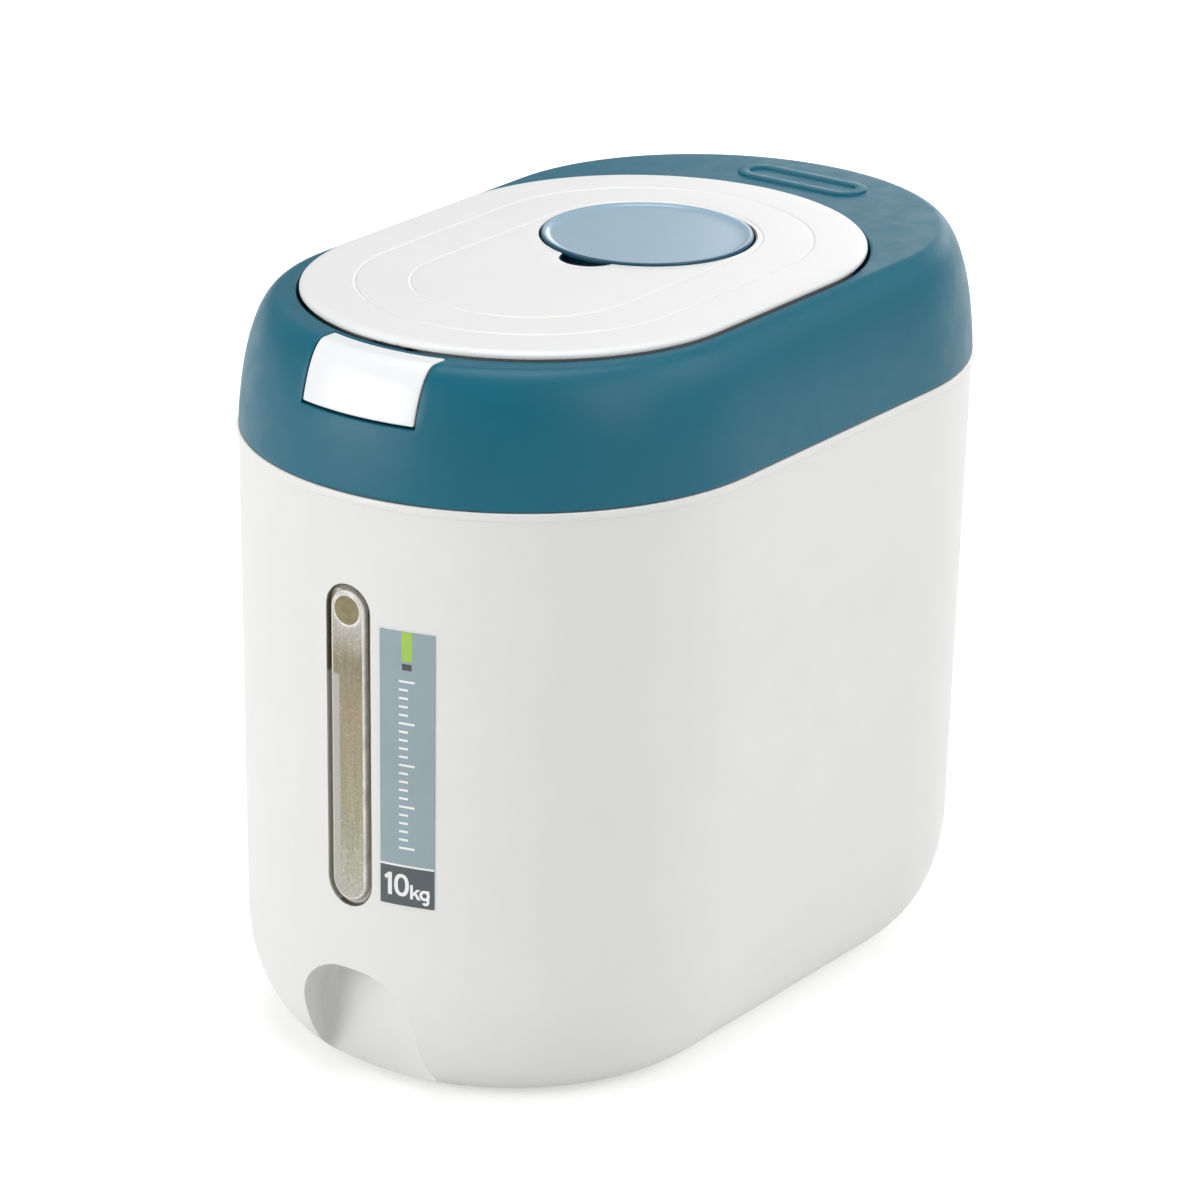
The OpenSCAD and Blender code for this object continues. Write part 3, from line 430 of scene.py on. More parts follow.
def mesh_object(name, points, faces, materials, angle=SMOOTH_ANGLE, creases=(), closed=False):
    """A mesh object from points in millimetres, its doubles merged and its faces smoothed.

    A closed one has its faces turned outwards. Creases are pairs of points to round later.
    """
    mesh = bpy.data.meshes.new(name)
    faces = [tuple(dict.fromkeys(face)) for face in faces]
    mesh.from_pydata([Vector(p) * MM for p in points], [], [f for f in faces if len(f) > 2])
    for material in materials:
        mesh.materials.append(material)
    with edited(mesh) as bm:
        bm.verts.ensure_lookup_table()
        if creases:
            layer = bm.edges.layers.float.new("bevel_weight_edge")
            for a, b in creases:
                edge = bm.edges.get((bm.verts[a], bm.verts[b]))
                if edge:
                    edge[layer] = 1.0
        bmesh.ops.remove_doubles(bm, verts=bm.verts, dist=2e-6)
        bmesh.ops.dissolve_degenerate(bm, edges=bm.edges, dist=1e-6)
    smooth(mesh, angle)
    if closed:
        face_outwards(mesh)
    return new_object(name, mesh)


def smooth(mesh, angle=SMOOTH_ANGLE):
    mesh.shade_smooth()
    mesh.set_sharp_from_angle(angle=math.radians(angle))


def face_outwards(mesh):
    """Turns the faces of a closed mesh outwards."""
    with edited(mesh) as bm:
        bmesh.ops.recalc_face_normals(bm, faces=bm.faces)


def paint(obj, second, chosen):
    """Gives a second material to the faces whose centre, in millimetres, passes a test."""
    obj.data.materials.append(second)
    for face in obj.data.polygons:
        if chosen(face.center / MM):
            face.material_index = 1


def apply_modifiers(obj, angle=SMOOTH_ANGLE):
    """Replaces the object's mesh by its evaluated one and drops the modifiers."""
    bpy.context.view_layer.update()
    graph = bpy.context.evaluated_depsgraph_get()
    mesh = bpy.data.meshes.new_from_object(obj.evaluated_get(graph))
    obj.modifiers.clear()
    obj.data = mesh
    smooth(mesh, angle)
    return obj


def bevel(obj, width_mm, segments=3, weighted=False, angle=40.0):
    modifier = obj.modifiers.new("Rounded edges", "BEVEL")
    modifier.width = width_mm * MM
    modifier.segments = segments
    modifier.limit_method = "WEIGHT" if weighted else "ANGLE"
    modifier.angle_limit = math.radians(angle)
    modifier.miter_outer = "MITER_ARC"
    return modifier


def join(name, parts):
    """One object from several, with each material once."""
    mesh = bpy.data.meshes.new(name)
    materials = []
    with edited(mesh) as bm:
        for part in parts:
            start = len(bm.faces)
            bm.from_mesh(part.data)
            materials += [m for m in part.data.materials if m not in materials]
            slots = [materials.index(m) for m in part.data.materials]
            bm.faces.ensure_lookup_table()
            for face in bm.faces[start:]:
                face.material_index = slots[face.material_index]
    for material in materials:
        mesh.materials.append(material)
    for part in parts:
        bpy.data.objects.remove(part)
    return new_object(name, mesh)


def cad_copy(node, name, material, keep, move=None):
    """A merged copy of a node's mesh that keeps the faces whose corners pass a test."""
    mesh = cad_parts[node].data.copy()
    mesh.name = name
    with edited(mesh) as bm:
        bmesh.ops.remove_doubles(bm, verts=bm.verts, dist=1e-6)
        drop = [f for f in bm.faces if not keep([v.co / MM for v in f.verts])]
        bmesh.ops.delete(bm, geom=drop, context="FACES")
        if move:
            for v in bm.verts:
                v.co = Vector(move(v.co / MM)) * MM
    mesh.materials.clear()
    mesh.materials.append(material)
    smooth(mesh)
    return new_object(name, mesh)


def spaced(start, end, steps):
    """Even steps from start to end, both included."""
    return [start + (end - start) * i / steps for i in range(steps + 1)]


def add_row(points, row):
    """Adds a row of points and returns their numbers."""
    points += row
    return list(range(len(points) - len(row), len(points)))


def strip(a, b):
    """Quads between two rows of vertex numbers."""
    return list(zip(a, a[1:], b[1:], b))


def reach_from(low, high, x, y):
    """Distance of (x, y) from the line between low and high on the y axis."""
    return math.hypot(x, y - max(low, min(high, y)))


# ------------------------------------------------------- racetrack outline

COLUMNS = [0.0, 3.0, 6.0, 9.0, 12.0, 15.0, 18.0, 21.0, 24.0, 26.6, 30.0, 36.0]


def racetrack(y0, y1, r, columns=COLUMNS, straight=10):
    """Points round a racetrack, counterclockwise from the middle of the front.

    The columns near both ends keep their distance from the middle plane whatever the radius,
    so that openings with upright sides fall between the same columns in every row.
    """
    fan = spaced(math.asin(columns[-1] / r), math.pi / 2, sizes().arc_steps)[1:]
    front = [(x, y0 - math.sqrt(r * r - x * x)) for x in columns]
    front += [(r * math.sin(a), y0 - r * math.cos(a)) for a in fan]
    side = [(r, y) for y in spaced(y0, y1, straight)[1:-1]]
    rear = [(r * math.sin(a), y1 + r * math.cos(a)) for a in reversed(fan)]
    rear += [(x, y1 + math.sqrt(r * r - x * x)) for x in reversed(columns)]
    right = front + side + rear
    return right + [(-x, y) for x, y in reversed(right[1:-1])]


def ring_at(y0, y1, r, z):
    """A racetrack's points at one height."""
    return [(x, y, z) for x, y in racetrack(y0, y1, r)]


def ring_rows(rings):
    """All the points of some rings or rows, and their numbers ring by ring."""
    points = []
    rows = [add_row(points, ring) for ring in rings]
    return points, rows


def swept_faces(rows, skip=lambda row, column: False):
    """Quads between rings. skip leaves out cells by row and column number."""
    return [quad for j, (a, b) in enumerate(zip(rows, rows[1:]))
            for i, quad in enumerate(zip(a, a[1:] + a[:1], b[1:] + b[:1], b)) if not skip(j, i)]


def near_front(column, count, reach):
    """True for a cell within reach columns of the middle of the front."""
    return column < reach or column >= count - reach


def near_rear(column, count, reach):
    return count // 2 - reach <= column < count // 2 + reach


# --------------------------------------------------------------- bin shell

DRAFT = math.tan(math.radians(0.9))
WALL, FLOOR, BASE_Z = 2.5, 3.0, 1.0
BOTTOM_IN, BOTTOM_RISE, RIM_R = 30.0, 49.0, 107.5
BEND = 62.0              # length of the bottom's bend in the unrolled height
NOTCH_TOP, WINDOW_HIGH = 66.0, 228.0    # heights of the rows above the notch and the window
ROWS = spaced(-BEND, 0.0, 20) + [8.0]   # unrolled heights of the wall's rows of points
ROWS += spaced(NOTCH_TOP - BOTTOM_RISE, WINDOW_HIGH - BOTTOM_RISE, 18)
NOTCH_ROW, WINDOW_ROW = (ROWS.index(z - BOTTOM_RISE) for z in (NOTCH_TOP, WINDOW_HIGH))
REACH = len(COLUMNS) - 1         # columns on each side of an opening's middle
LEG_STEPS, CORNER_STEPS, TUNNEL_STEPS = 8, 6, 5
NECK_OUT_R, NECK_IN_R, NECK_TOP = 104.4, 101.9, JOINT_Z + 12


def bin_r(z):
    """Outer radius of the bin's rounded ends at a height above its bend."""
    return RIM_R - (JOINT_Z - z) * DRAFT


class WallSurface:
    """Outer or inner face of the bin's wall, with its unrolled height s."""

    def __init__(self, inset, low):
        self.inset, self.low = inset, low

    def at(self, s):
        """Radius and height of the wall at an unrolled height."""
        if s >= 0:
            z = BOTTOM_RISE + s
            return bin_r(z) - self.inset, z
        a = -s / BEND * math.pi / 2
        z = BOTTOM_RISE - (BOTTOM_RISE - self.low) * math.sin(a)
        return bin_r(z) - self.inset - (BOTTOM_IN - self.inset) * (1 - math.cos(a)), z

    def s_of_z(self, z):
        """Unrolled height of a height."""
        if z >= BOTTOM_RISE:
            return z - BOTTOM_RISE
        drop = min(1, (BOTTOM_RISE - z) / (BOTTOM_RISE - self.low))
        return -math.asin(drop) * 2 / math.pi * BEND

    def s_of_r(self, r):
        """Unrolled height in the bend where the wall has radius r, by halving."""
        low, high = -BEND, 0.0
        for _ in range(40):
            mid = (low + high) / 2
            low, high = (mid, high) if self.at(mid)[0] < r else (low, mid)
        return low

    def point(self, x, s, end):
        """Point at a distance x from the middle plane; end is -1 at the front, 1 at the rear."""
        r, z = self.at(s)
        return (-end * x, end * (SPINE + math.sqrt(r * r - x * x)), z)


class Notch:
    """Outline of a hand notch, grown by the wall for its inner face."""

    def __init__(self, grow):
        self.half, self.top, self.r = 27.0 + grow, 54.4 + grow, 24.0 + grow
        self.back, self.corner = 147.5 - SPINE - grow, 5.0 + grow

    def depth(self, x):
        """Distance of the back wall beyond the spine's end."""
        over = abs(x) - (self.half - self.corner)
        if over <= 0:
            return self.back
        return self.back + self.corner - math.sqrt(max(0.0, self.corner ** 2 - over ** 2))

    def arc(self, start, end, steps):
        """Points (x, z) on the arch's left corner between two angles in degrees."""
        return arc_points(self.r - self.half, self.top - self.r, self.r, start, end, steps)


def arc_points(x, z, r, start, end, steps):
    """Points on a circle from start to end, in degrees turned clockwise from the left."""
    turns = [math.radians(a) for a in spaced(start, end, steps)]
    return [(x - r * math.cos(a), z + r * math.sin(a)) for a in turns]


def notch_loop(surface, notch):
    """The notch's edge in (x, s), up and over the arch and back along the foot, and the arch
    in (x, z)."""
    low = surface.at(surface.s_of_r(math.hypot(notch.half, notch.depth(notch.half))))[1]
    up = [(-notch.half, z) for z in spaced(low, notch.top - notch.r, LEG_STEPS)[:-1]]
    up += notch.arc(0, 45, NOTCH_ROW - LEG_STEPS) + notch.arc(45, 90, REACH - 1)[1:]
    arch = up + [(0.0, notch.top)] + [(-x, z) for x, z in reversed(up)]
    inner = notch.half - notch.corner
    turns = spaced(0, math.pi / 2, CORNER_STEPS)[1:]
    foot = [inner + notch.corner * math.cos(a) for a in turns]
    foot += spaced(inner, -inner, 2 * REACH - 2 * CORNER_STEPS)[1:]
    foot += [-x for x in reversed(foot[:CORNER_STEPS - 1])]
    return ([(x, surface.s_of_z(z)) for x, z in arch],
            [(x, surface.s_of_r(math.hypot(x, notch.depth(x)))) for x in foot], arch)


def slot_loop(half, low, top, side_steps, arc_steps, top_steps):
    """Upright slot outline in (x, z), from the lower left corner up, over, down and back."""
    def corner(z, start, end, steps):
        return arc_points(0.0, z, half, start, end, steps)
    high_z, low_z = top - half, low + half
    left = corner(low_z, -45, 0, arc_steps)
    left += [(-half, z) for z in spaced(low_z, high_z, side_steps - 2 * arc_steps)[1:-1]]
    left += corner(high_z, 0, 45, arc_steps)
    right = [(-x, z) for x, z in reversed(left)]
    return (left + corner(high_z, 45, 135, top_steps)[1:-1]
            + right + corner(low_z, 225, 315, top_steps)[1:-1])


class WallEnd:
    """A rounded end of the bin, on one face of its wall, that gets its openings."""

    def __init__(self, points, faces, creases, surface, row_ids, inner, end):
        self.points, self.faces, self.creases = points, faces, creases
        self.surface, self.row_ids, self.inner, self.end = surface, row_ids, inner, end

    def lay(self, quads):
        """Adds quads, turned round on the inner face."""
        self.faces += [quad[::-1] if self.inner else quad for quad in quads]

    def crease(self, ids):
        self.creases += zip(ids, ids[1:])

    def frame_loop(self, low, high):
        """The wall's own points round an opening, as vertex numbers and as (x, s)."""
        cells = [(row, -REACH) for row in range(low, high + 1)]
        cells += [(high, column) for column in range(1 - REACH, REACH)]
        cells += [(row, REACH) for row in range(high, low - 1, -1)]
        cells += [(low, column) for column in range(REACH - 1, -REACH, -1)]
        count = len(self.row_ids[0])
        middle = 0 if self.end < 0 else count // 2
        return ([self.row_ids[row][(middle + column) % count] for row, column in cells],
                [(math.copysign(COLUMNS[abs(column)], column), ROWS[row])
                 for row, column in cells])

    def fill_round(self, hole, low, high, shares):
        """Fills the wall between a hole's edge and the rows round it; returns the edge."""
        frame_ids, frame_places = self.frame_loop(low, high)
        loops = []
        for share in (0.0,) + shares:
            mixed = [(x + (u - x) * share, s + (v - s) * share)
                     for (x, s), (u, v) in zip(hole, frame_places)]
            loops.append(add_row(self.points, [self.surface.point(x, s, self.end)
                                               for x, s in mixed]))
        for a, b in zip(loops, loops[1:] + [frame_ids]):
            self.lay(zip(a[1:] + a[:1], b[1:] + b[:1], b, a))
        return loops[0]

    def open_notch(self):
        """Cuts the hand notch in and lines it."""
        notch = Notch(WALL if self.inner else 0.0)
        loop, foot, arch = notch_loop(self.surface, notch)
        hole = self.fill_round(loop + foot, 0, NOTCH_ROW, (0.2, 0.45, 0.7))
        edge, foot = hole[:len(loop)], hole[len(loop):]
        self.crease(edge)
        self.crease(edge[-1:] + foot + edge[:1])

        # The tunnel from the arch to the back wall
        last = edge
        for share in spaced(0, 1, TUNNEL_STEPS)[1:]:
            row = []
            for (x, z), first in zip(arch, edge):
                px, py, pz = self.points[first]
                goal = self.end * (SPINE + notch.depth(x))
                row.append((px, py + (goal - py) * share, pz))
            ids = add_row(self.points, row)
            self.lay(strip(last, ids))
            last = ids

        # The back wall, a net stretched between the tunnel and the foot
        side, across = NOTCH_ROW, 2 * REACH
        left, right = last[:side + 1], last[side + across:][::-1]
        bottom, top = last[:1] + foot[::-1] + last[-1:], last[side:side + across + 1]
        self.crease(top)
        grid = [bottom]
        for j in range(1, side):
            row = []
            for i in range(1, across):
                u, v = i / across, j / side
                shares = ((left[j], 1 - u), (right[j], u), (bottom[i], 1 - v), (top[i], v),
                          (left[0], (u - 1) * (1 - v)), (right[0], u * (v - 1)),
                          (left[-1], (u - 1) * v), (right[-1], -u * v))
                x, z = (sum(self.points[n][axis] * share for n, share in shares)
                        for axis in (0, 2))
                row.append((x, self.end * (SPINE + notch.depth(x)), z))
            grid.append([left[j]] + add_row(self.points, row) + [right[j]])
        grid.append(top)
        for a, b in zip(grid, grid[1:]):
            self.lay(strip(a, b))

    def open_window(self):
        """Cuts the window's opening and returns its edge."""
        slot = slot_loop(WINDOW_HALF, WINDOW_LOW, WINDOW_TOP, WINDOW_ROW - NOTCH_ROW, 4,
                         2 * REACH)
        edge = self.fill_round([(x, self.surface.s_of_z(z)) for x, z in slot],
                               NOTCH_ROW, WINDOW_ROW, (0.08, 0.3, 0.6))
        self.crease(edge + edge[:1])
        return edge


def build_bin():
    points, faces, creases = [], [], []

    def sweep(loops):
        return [add_row(points, ring_at(-SPINE, SPINE, r, z)) for r, z in loops]

    outer, inner = WallSurface(0.0, BASE_Z), WallSurface(WALL, BASE_Z + FLOOR)
    outer_ids, inner_ids = (sweep(map(surface.at, ROWS)) for surface in (outer, inner))
    count = len(outer_ids[0])

    def skip(row, column):
        front, rear = near_front(column, count, REACH), near_rear(column, count, REACH)
        return row < NOTCH_ROW and (front or rear) or NOTCH_ROW <= row < WINDOW_ROW and front

    faces += swept_faces(outer_ids, skip)
    faces += [face[::-1] for face in swept_faces(inner_ids, skip)]
    slots = []
    for surface, ids, is_inner in ((outer, outer_ids, False), (inner, inner_ids, True)):
        front, rear = (WallEnd(points, faces, creases, surface, ids, is_inner, end)
                       for end in (-1, 1))
        front.open_notch()
        slots.append(front.open_window())
        rear.open_notch()
    faces += swept_faces(slots)

    # The rounded bead, the neck under the collar, and back down the inside
    bead_low, bead_r = JOINT_Z - 4.0, RIM_R + 0.6
    wall_top, bead_foot = 237, 242
    crown = sweep([
        (bin_r(wall_top), wall_top), (bin_r(bead_low), bead_low),
        (bin_r(bead_low) + 0.12, bead_low + 0.1), (bead_r - 0.25, bead_low + 0.5),
        (bead_r - 0.05, bead_low + 0.9), (bead_r, bead_low + 1.4), (bead_r, JOINT_Z - 1.5),
        (bead_r - 0.15, JOINT_Z - 0.8), (bead_r - 0.6, JOINT_Z - 0.42),
        (NECK_OUT_R, JOINT_Z - 0.4), (NECK_OUT_R, NECK_TOP - 0.5), (NECK_OUT_R - 0.5, NECK_TOP),
        (NECK_IN_R + 0.5, NECK_TOP), (NECK_IN_R, NECK_TOP - 0.5), (NECK_IN_R, JOINT_Z - 3),
        (bin_r(bead_foot) - WALL, bead_foot), (bin_r(wall_top) - WALL, wall_top)])
    faces += swept_faces([outer_ids[-1]] + crown + [inner_ids[-1]])
    faces += [outer_ids[0][::-1], inner_ids[0]]
    shell = mesh_object("bin_shell", points, faces, [finish_of(satin_polypropylene)],
                        creases=creases)
    bevel(shell, sizes().edge_round / MM, weighted=True)
    return apply_modifiers(shell)


# ------------------------------------------------------------------ collar

SKIN = 2.6               # thickness of the collar


def bend_angle(z, inset=0.0):
    """Angle in the bend of the collar's shoulder at a height."""
    return math.asin((z - DECK_Z + SHOULDER_H) / (SHOULDER_H - inset))


def shoulder(a, inset=0.0):
    """Radius and height of the collar's shoulder at an angle of its bend."""
    base, rise = DECK_Z - SHOULDER_H, SHOULDER_H - inset
    return COLLAR_R - inset - (COLLAR_R - DECK_R) * (1 - math.cos(a)), base + rise * math.sin(a)


def shoulder_r(z):
    """Radius of the shoulder at a height, and above the deck that of the deck."""
    return shoulder(bend_angle(min(z, DECK_Z)))[0]


def eased(start, end, steps, power):
    """Steps from start to end that get closer towards the end."""
    return [start + (end - start) * (1 - (1 - i / steps) ** power) for i in range(steps + 1)]


def mixed_ring(a, b, share, z):
    """Ring between two rings of points, at one height."""
    return [(p[0] + (q[0] - p[0]) * share, p[1] + (q[1] - p[1]) * share, z) for p, q in zip(a, b)]


def build_collar():
    cut_z = BUTTON_LOW - 1.3             # foot of the button's opening
    low_steps, high_steps = 6, 16
    under, ledge = DECK_Z - SKIN, DECK_Z - 17
    well_r, lip_r, skirt_z = OPENING_R + 2.2, THROAT_R + 2.2, ledge - 11.7

    def round_bin(r, z):
        return ring_at(-SPINE, SPINE, r, z)

    def round_lid(r, z):
        return ring_at(LID_FRONT, LID_REAR, r, z)

    def bend_rings(inset):
        """Rings up the shoulder, with one at the foot of the button's opening."""
        cut = bend_angle(cut_z, inset)
        angles = spaced(bend_angle(JOINT_Z + 1.5, inset), cut, low_steps)[:-1]
        angles += eased(cut, math.pi / 2, high_steps, 1.25)
        return [round_bin(*shoulder(a, inset)) for a in angles]

    foot_r = shoulder(bend_angle(JOINT_Z))[0]
    rings = [round_bin(foot_r + out, JOINT_Z + up)
             for out, up in ((-SKIN, 0.0), (-0.6, 0.0), (-0.18, 0.15), (0.0, 0.6))]
    hole_low = len(rings) + low_steps
    rings += bend_rings(0.0)
    deck, button_edge = round_bin(DECK_R, DECK_Z), round_lid(OPENING_R + BUTTON_STRIP, DECK_Z)
    rings += [mixed_ring(deck, button_edge, share, DECK_Z) for share in (0.25, 0.5, 0.75, 1.0)]
    hole_high = len(rings) - 1
    rings += [round_lid(OPENING_R + out, DECK_Z - down)
              for out, down in ((0.5, 0.0), (0.15, 0.15), (0.0, 0.5))]
    slot_high = len(rings)
    rings += [round_lid(r, z) for r, z in (
        (OPENING_R, under), (OPENING_R, ledge), (lip_r + 1.5, ledge), (lip_r, ledge),
        (lip_r, ledge + 3.4), (lip_r - 0.2, ledge + 3.85), (lip_r - 0.6, ledge + 4),
        (THROAT_R + 0.5, ledge + 4), (THROAT_R + 0.15, ledge + 3.85), (THROAT_R, ledge + 3.4),
        (THROAT_R, skirt_z), (lip_r, skirt_z), (lip_r, ledge - 2.2), (lip_r + 1.5, ledge - 2.2),
        (well_r, ledge - 2.2), (well_r, under))]
    under_high = len(rings) - 1
    under_low = under_high - 2
    inner_deck = round_bin(shoulder(math.pi / 2, SKIN)[0], under)
    wall_ring = round_lid(well_r, under)

    def outside_wall(ring):
        """Keeps a ring of the skin's inner face clear of the well's wall."""
        return [(u, v, z) if reach_from(LID_FRONT, LID_REAR, x, y) < well_r else (x, y, z)
                for (x, y, z), (u, v, _) in zip(ring, wall_ring)]

    back = [mixed_ring(inner_deck, wall_ring, share, under) for share in (0.75, 0.5, 0.25)]
    rings += map(outside_wall, back + bend_rings(SKIN)[::-1])
    inner_low = under_high + len(back) + high_steps + 1
    points, rows = ring_rows(rings)
    rows.append(rows[0])
    count = len(rows[0])
    button, slot = COLUMNS.index(26.6), COLUMNS.index(24.0)

    def skip(row, column):
        front = hole_low <= row < hole_high or under_high <= row < inner_low
        rear = slot_high <= row < slot_high + 2 or under_low <= row < under_high
        return (front and near_front(column, count, button)
                or rear and near_rear(column, count, slot))

    faces = swept_faces(rows, skip)
    creases = []

    def walls(top_rows, low_rows, middle, reach):
        """Closes a hole through the skin along its two sides and its two ends."""
        columns = [(middle + i) % count for i in range(-reach, reach + 1)]
        edges = [([rows[j][i] for j in top_rows], [rows[j][i] for j in low_rows])
                 for i in (columns[0], columns[-1])]
        edges += [([rows[a][i] for i in columns], [rows[b][i] for i in columns])
                  for a, b in ((top_rows[0], low_rows[0]), (top_rows[-1], low_rows[-1]))]
        for edge, other in edges:
            faces.extend(strip(edge, other))
            creases.extend(zip(edge, edge[1:]))

    walls(range(hole_low, hole_high + 1), range(inner_low, under_high - 1, -1), 0, button)
    walls(range(slot_high, slot_high + 3), range(under_high, under_low - 1, -1), count // 2, slot)
    teal = finish_of(teal_abs)
    shell = mesh_object("collar_skin", points, faces, [teal], creases=creases, closed=True)
    bevel(shell, 0.35, 2, weighted=True)
    apply_modifiers(shell)

    def hidden_part(corners):
        """Keeps the button's pocket, the hinge chamber and its ears, as in the frame."""
        xs, ys, zs = zip(*corners)
        pocket = max(map(abs, xs)) < 32 and max(ys) < -138
        chamber = max(map(abs, xs)) < 44 and min(ys) > 98
        if max(zs) > under - 0.1 or min(zs) < 264 or not (pocket or chamber):
            return False
        if any(reach_from(-SPINE, SPINE, x, y) > shoulder_r(z) - 2.9 for x, y, z in corners):
            return False
        spread = [reach_from(LID_FRONT, LID_REAR, x, y) for x, y, z in corners]
        for r in (OPENING_R, well_r, lip_r, THROAT_R):
            if all(abs(s - r) < 0.06 for s in spread):
                return False
        level = max(zs) - min(zs) < 0.01
        return not (level and any(abs(zs[0] - z) < 0.05 for z in (ledge, ledge - 2.2)))

    return join("collar_shell", [
        shell, cad_copy("collar", "collar_inner_walls", teal, hidden_part), deck_ring(teal)])


def deck_ring(material):
    """Plain raised ring on the rear deck, with rounded edges."""
    y = LID_REAR + OPENING_R + REAR_DECK / 2
    half, outer, inner, foot, top = 20.0, 10.0, 5.0, DECK_Z - 0.5, DECK_Z + 0.8
    turns = spaced(-math.pi / 2, math.pi / 2, 14)
    profile = [(outer, foot), (outer, top - 0.5), (outer - 0.15, top - 0.15), (outer - 0.5, top),
               (inner + 0.5, top), (inner + 0.15, top - 0.15), (inner, top - 0.5), (inner, foot)]
    points, rows = ring_rows([
        [(side * (half + r * math.cos(a)), y + side * r * math.sin(a), z)
         for side in (1, -1) for a in turns] for r, z in profile])
    return mesh_object("deck_ring", points, swept_faces(rows + rows[:1]), [material], closed=True)


# ------------------------------------------------------------- push button

def build_button():
    gloss = finish_of(gloss_abs)
    columns = spaced(-BUTTON_HALF, BUTTON_HALF, 28)
    rings = [[(x, -SPINE - math.sqrt(r * r - x * x), z) for x in columns]
             for r, z in map(shoulder, eased(bend_angle(BUTTON_LOW), math.pi / 2, 24, 1.3))]
    deck_edge = [(x, -SPINE - math.sqrt(DECK_R ** 2 - x * x)) for x in columns]
    rear_edge = [(x, LID_FRONT - math.sqrt(BUTTON_IN_R ** 2 - x * x)) for x in columns]
    rings += [mixed_ring(deck_edge, rear_edge, share, DECK_Z) for share in (0.25, 0.5, 0.75, 1.0)]
    points, rows = ring_rows(rings)
    faces = [quad for a, b in zip(rows, rows[1:]) for quad in strip(a, b)]
    skin = mesh_object("button_skin", points, faces, [gloss], 60)
    thick = skin.modifiers.new("Skin", "SOLIDIFY")
    thick.thickness, thick.offset = 2.2 * MM, -1
    bevel(skin, 0.7, 3, angle=50)
    apply_modifiers(skin, 40)

    def backing(corners):
        """Keeps what stands behind the skin: the catch and the pivot's ears."""
        depths = [min(shoulder_r(z) - math.hypot(x, y + SPINE), DECK_Z - z)
                  for x, y, z in corners]
        return min(depths) >= 2.15 and max(depths) > 2.6

    return join("push_button_shell", [
        skin, cad_copy("push_button", "button_frame", gloss, backing)])


# --------------------------------------------------------------------- lid

def lid_opening_loop(grow):
    """Edge of the cap's well and of the finger notch, in the racetrack's order of points."""
    half = len(racetrack(LID_FRONT, LID_REAR, LID_R)) // 2
    well, finger, gap = WELL_R + grow, FINGER_R + grow, CAP_Y - FINGER_Y
    along = (well ** 2 - finger ** 2 + gap ** 2) / (2 * gap)
    x = math.sqrt(well ** 2 - along ** 2)
    finger_turn, well_turn = math.atan2(x, along - gap), math.atan2(x, along)
    notch_steps = 11
    right = [(finger * math.sin(a), FINGER_Y - finger * math.cos(a))
             for a in spaced(0, finger_turn, notch_steps)[:-1]]
    right += [(well * math.sin(a), CAP_Y - well * math.cos(a))
              for a in spaced(well_turn, math.pi, half - notch_steps)]
    return right + [(-px, py) for px, py in reversed(right[1:-1])]


def groove_rings(y0, y1, r):
    """Rings across an engraved line, from outside in."""
    w, d = sizes().groove_width / MM / 2, sizes().groove_depth / MM
    profile = [(1.25, 0.0), (1.0, -0.03), (0.8, -0.12), (0.5, -0.6), (0.25, -0.92), (0.0, -1.0)]
    profile += [(-s, z) for s, z in reversed(profile[:-1])]
    return [ring_at(y0, y1, r + s * w, LID_TOP + z * d) for s, z in profile]


def build_lid():
    profile = [(LID_R - 0.2, LID_LOW), (LID_R, LID_LOW + 0.2)]
    profile += [(LID_R - LID_EDGE_W * (1 - math.cos(a)), LID_TOP - LID_EDGE_H * (1 - math.sin(a)))
                for a in spaced(0, math.pi / 2, 10)]
    rings = [ring_at(LID_FRONT, LID_REAR, r, z) for r, z in profile]
    outer_line = groove_rings(LID_FRONT, LID_REAR, LID_R - 21.5)
    inner_line = groove_rings(LID_FRONT, CAP_Y, WELL_R + 2.5)
    well_edge = [[(x, y, LID_TOP + z) for x, y in lid_opening_loop(grow)]
                 for grow, z in ((0.6, 0.0), (0.3, -0.08), (0.1, -0.25), (0.0, -0.6))]
    for group, shares in ((outer_line, (0.33, 0.66)), (inner_line, (0.33, 0.66)),
                          (well_edge, (0.15, 0.5, 0.85))):
        rings += [mixed_ring(rings[-1], group[0], share, LID_TOP) for share in shares] + group
    points, rows = ring_rows(rings)
    white = finish_of(satin_lid_plastic)
    skin = mesh_object("lid_skin", points, swept_faces(rows), [white], 40)

    def body_part(corners):
        """Keeps what the skin doesn't make: all but the top face and the edge."""
        zs = [z for x, y, z in corners]
        near = min(reach_from(LID_FRONT, LID_REAR, x, y) for x, y, z in corners)
        return min(zs) <= LID_TOP - 0.65 and (near <= LID_R - 1.2 or max(zs) <= LID_LOW + 0.1)

    # Faces of the well and the finger notch, in dark teal as painted shade deep in the notch
    def in_well_painted_shade(c):
        near = (math.hypot(c.x, c.y - CAP_Y) < WELL_R + 0.2
                or math.hypot(c.x, c.y - FINGER_Y) < FINGER_R + 0.2)
        return near and c.z > LID_LOW - 7.0

    body = cad_copy("lid_panel", "lid_body", white, body_part,
                    lambda c: (c.x, c.y, min(c.z, LID_TOP - 0.6)))
    paint(body, finish_of(teal_gloss_abs_painted_shade), in_well_painted_shade)
    return join("lid_shell", [skin, body])


# --------------------------------------------------------------- round cap

def turned(name, profile, place, materials, steps, angle=SMOOTH_ANGLE):
    """A solid turned from a profile of (radius, height) that starts and ends on the axis.

    place gives the point at a radius, an angle and a height.
    """
    points, rows = [], []
    for r, z in profile:
        turns = [2 * math.pi * i / steps for i in range(steps if r else 1)]
        ids = add_row(points, [place(r, a, z) for a in turns])
        rows.append(ids if r else ids * steps)
    return mesh_object(name, points, swept_faces(rows), materials, angle, closed=True)


def upright(y):
    """Places points round an upright axis at y."""
    return lambda r, a, z: (r * math.sin(a), y - r * math.cos(a), z)


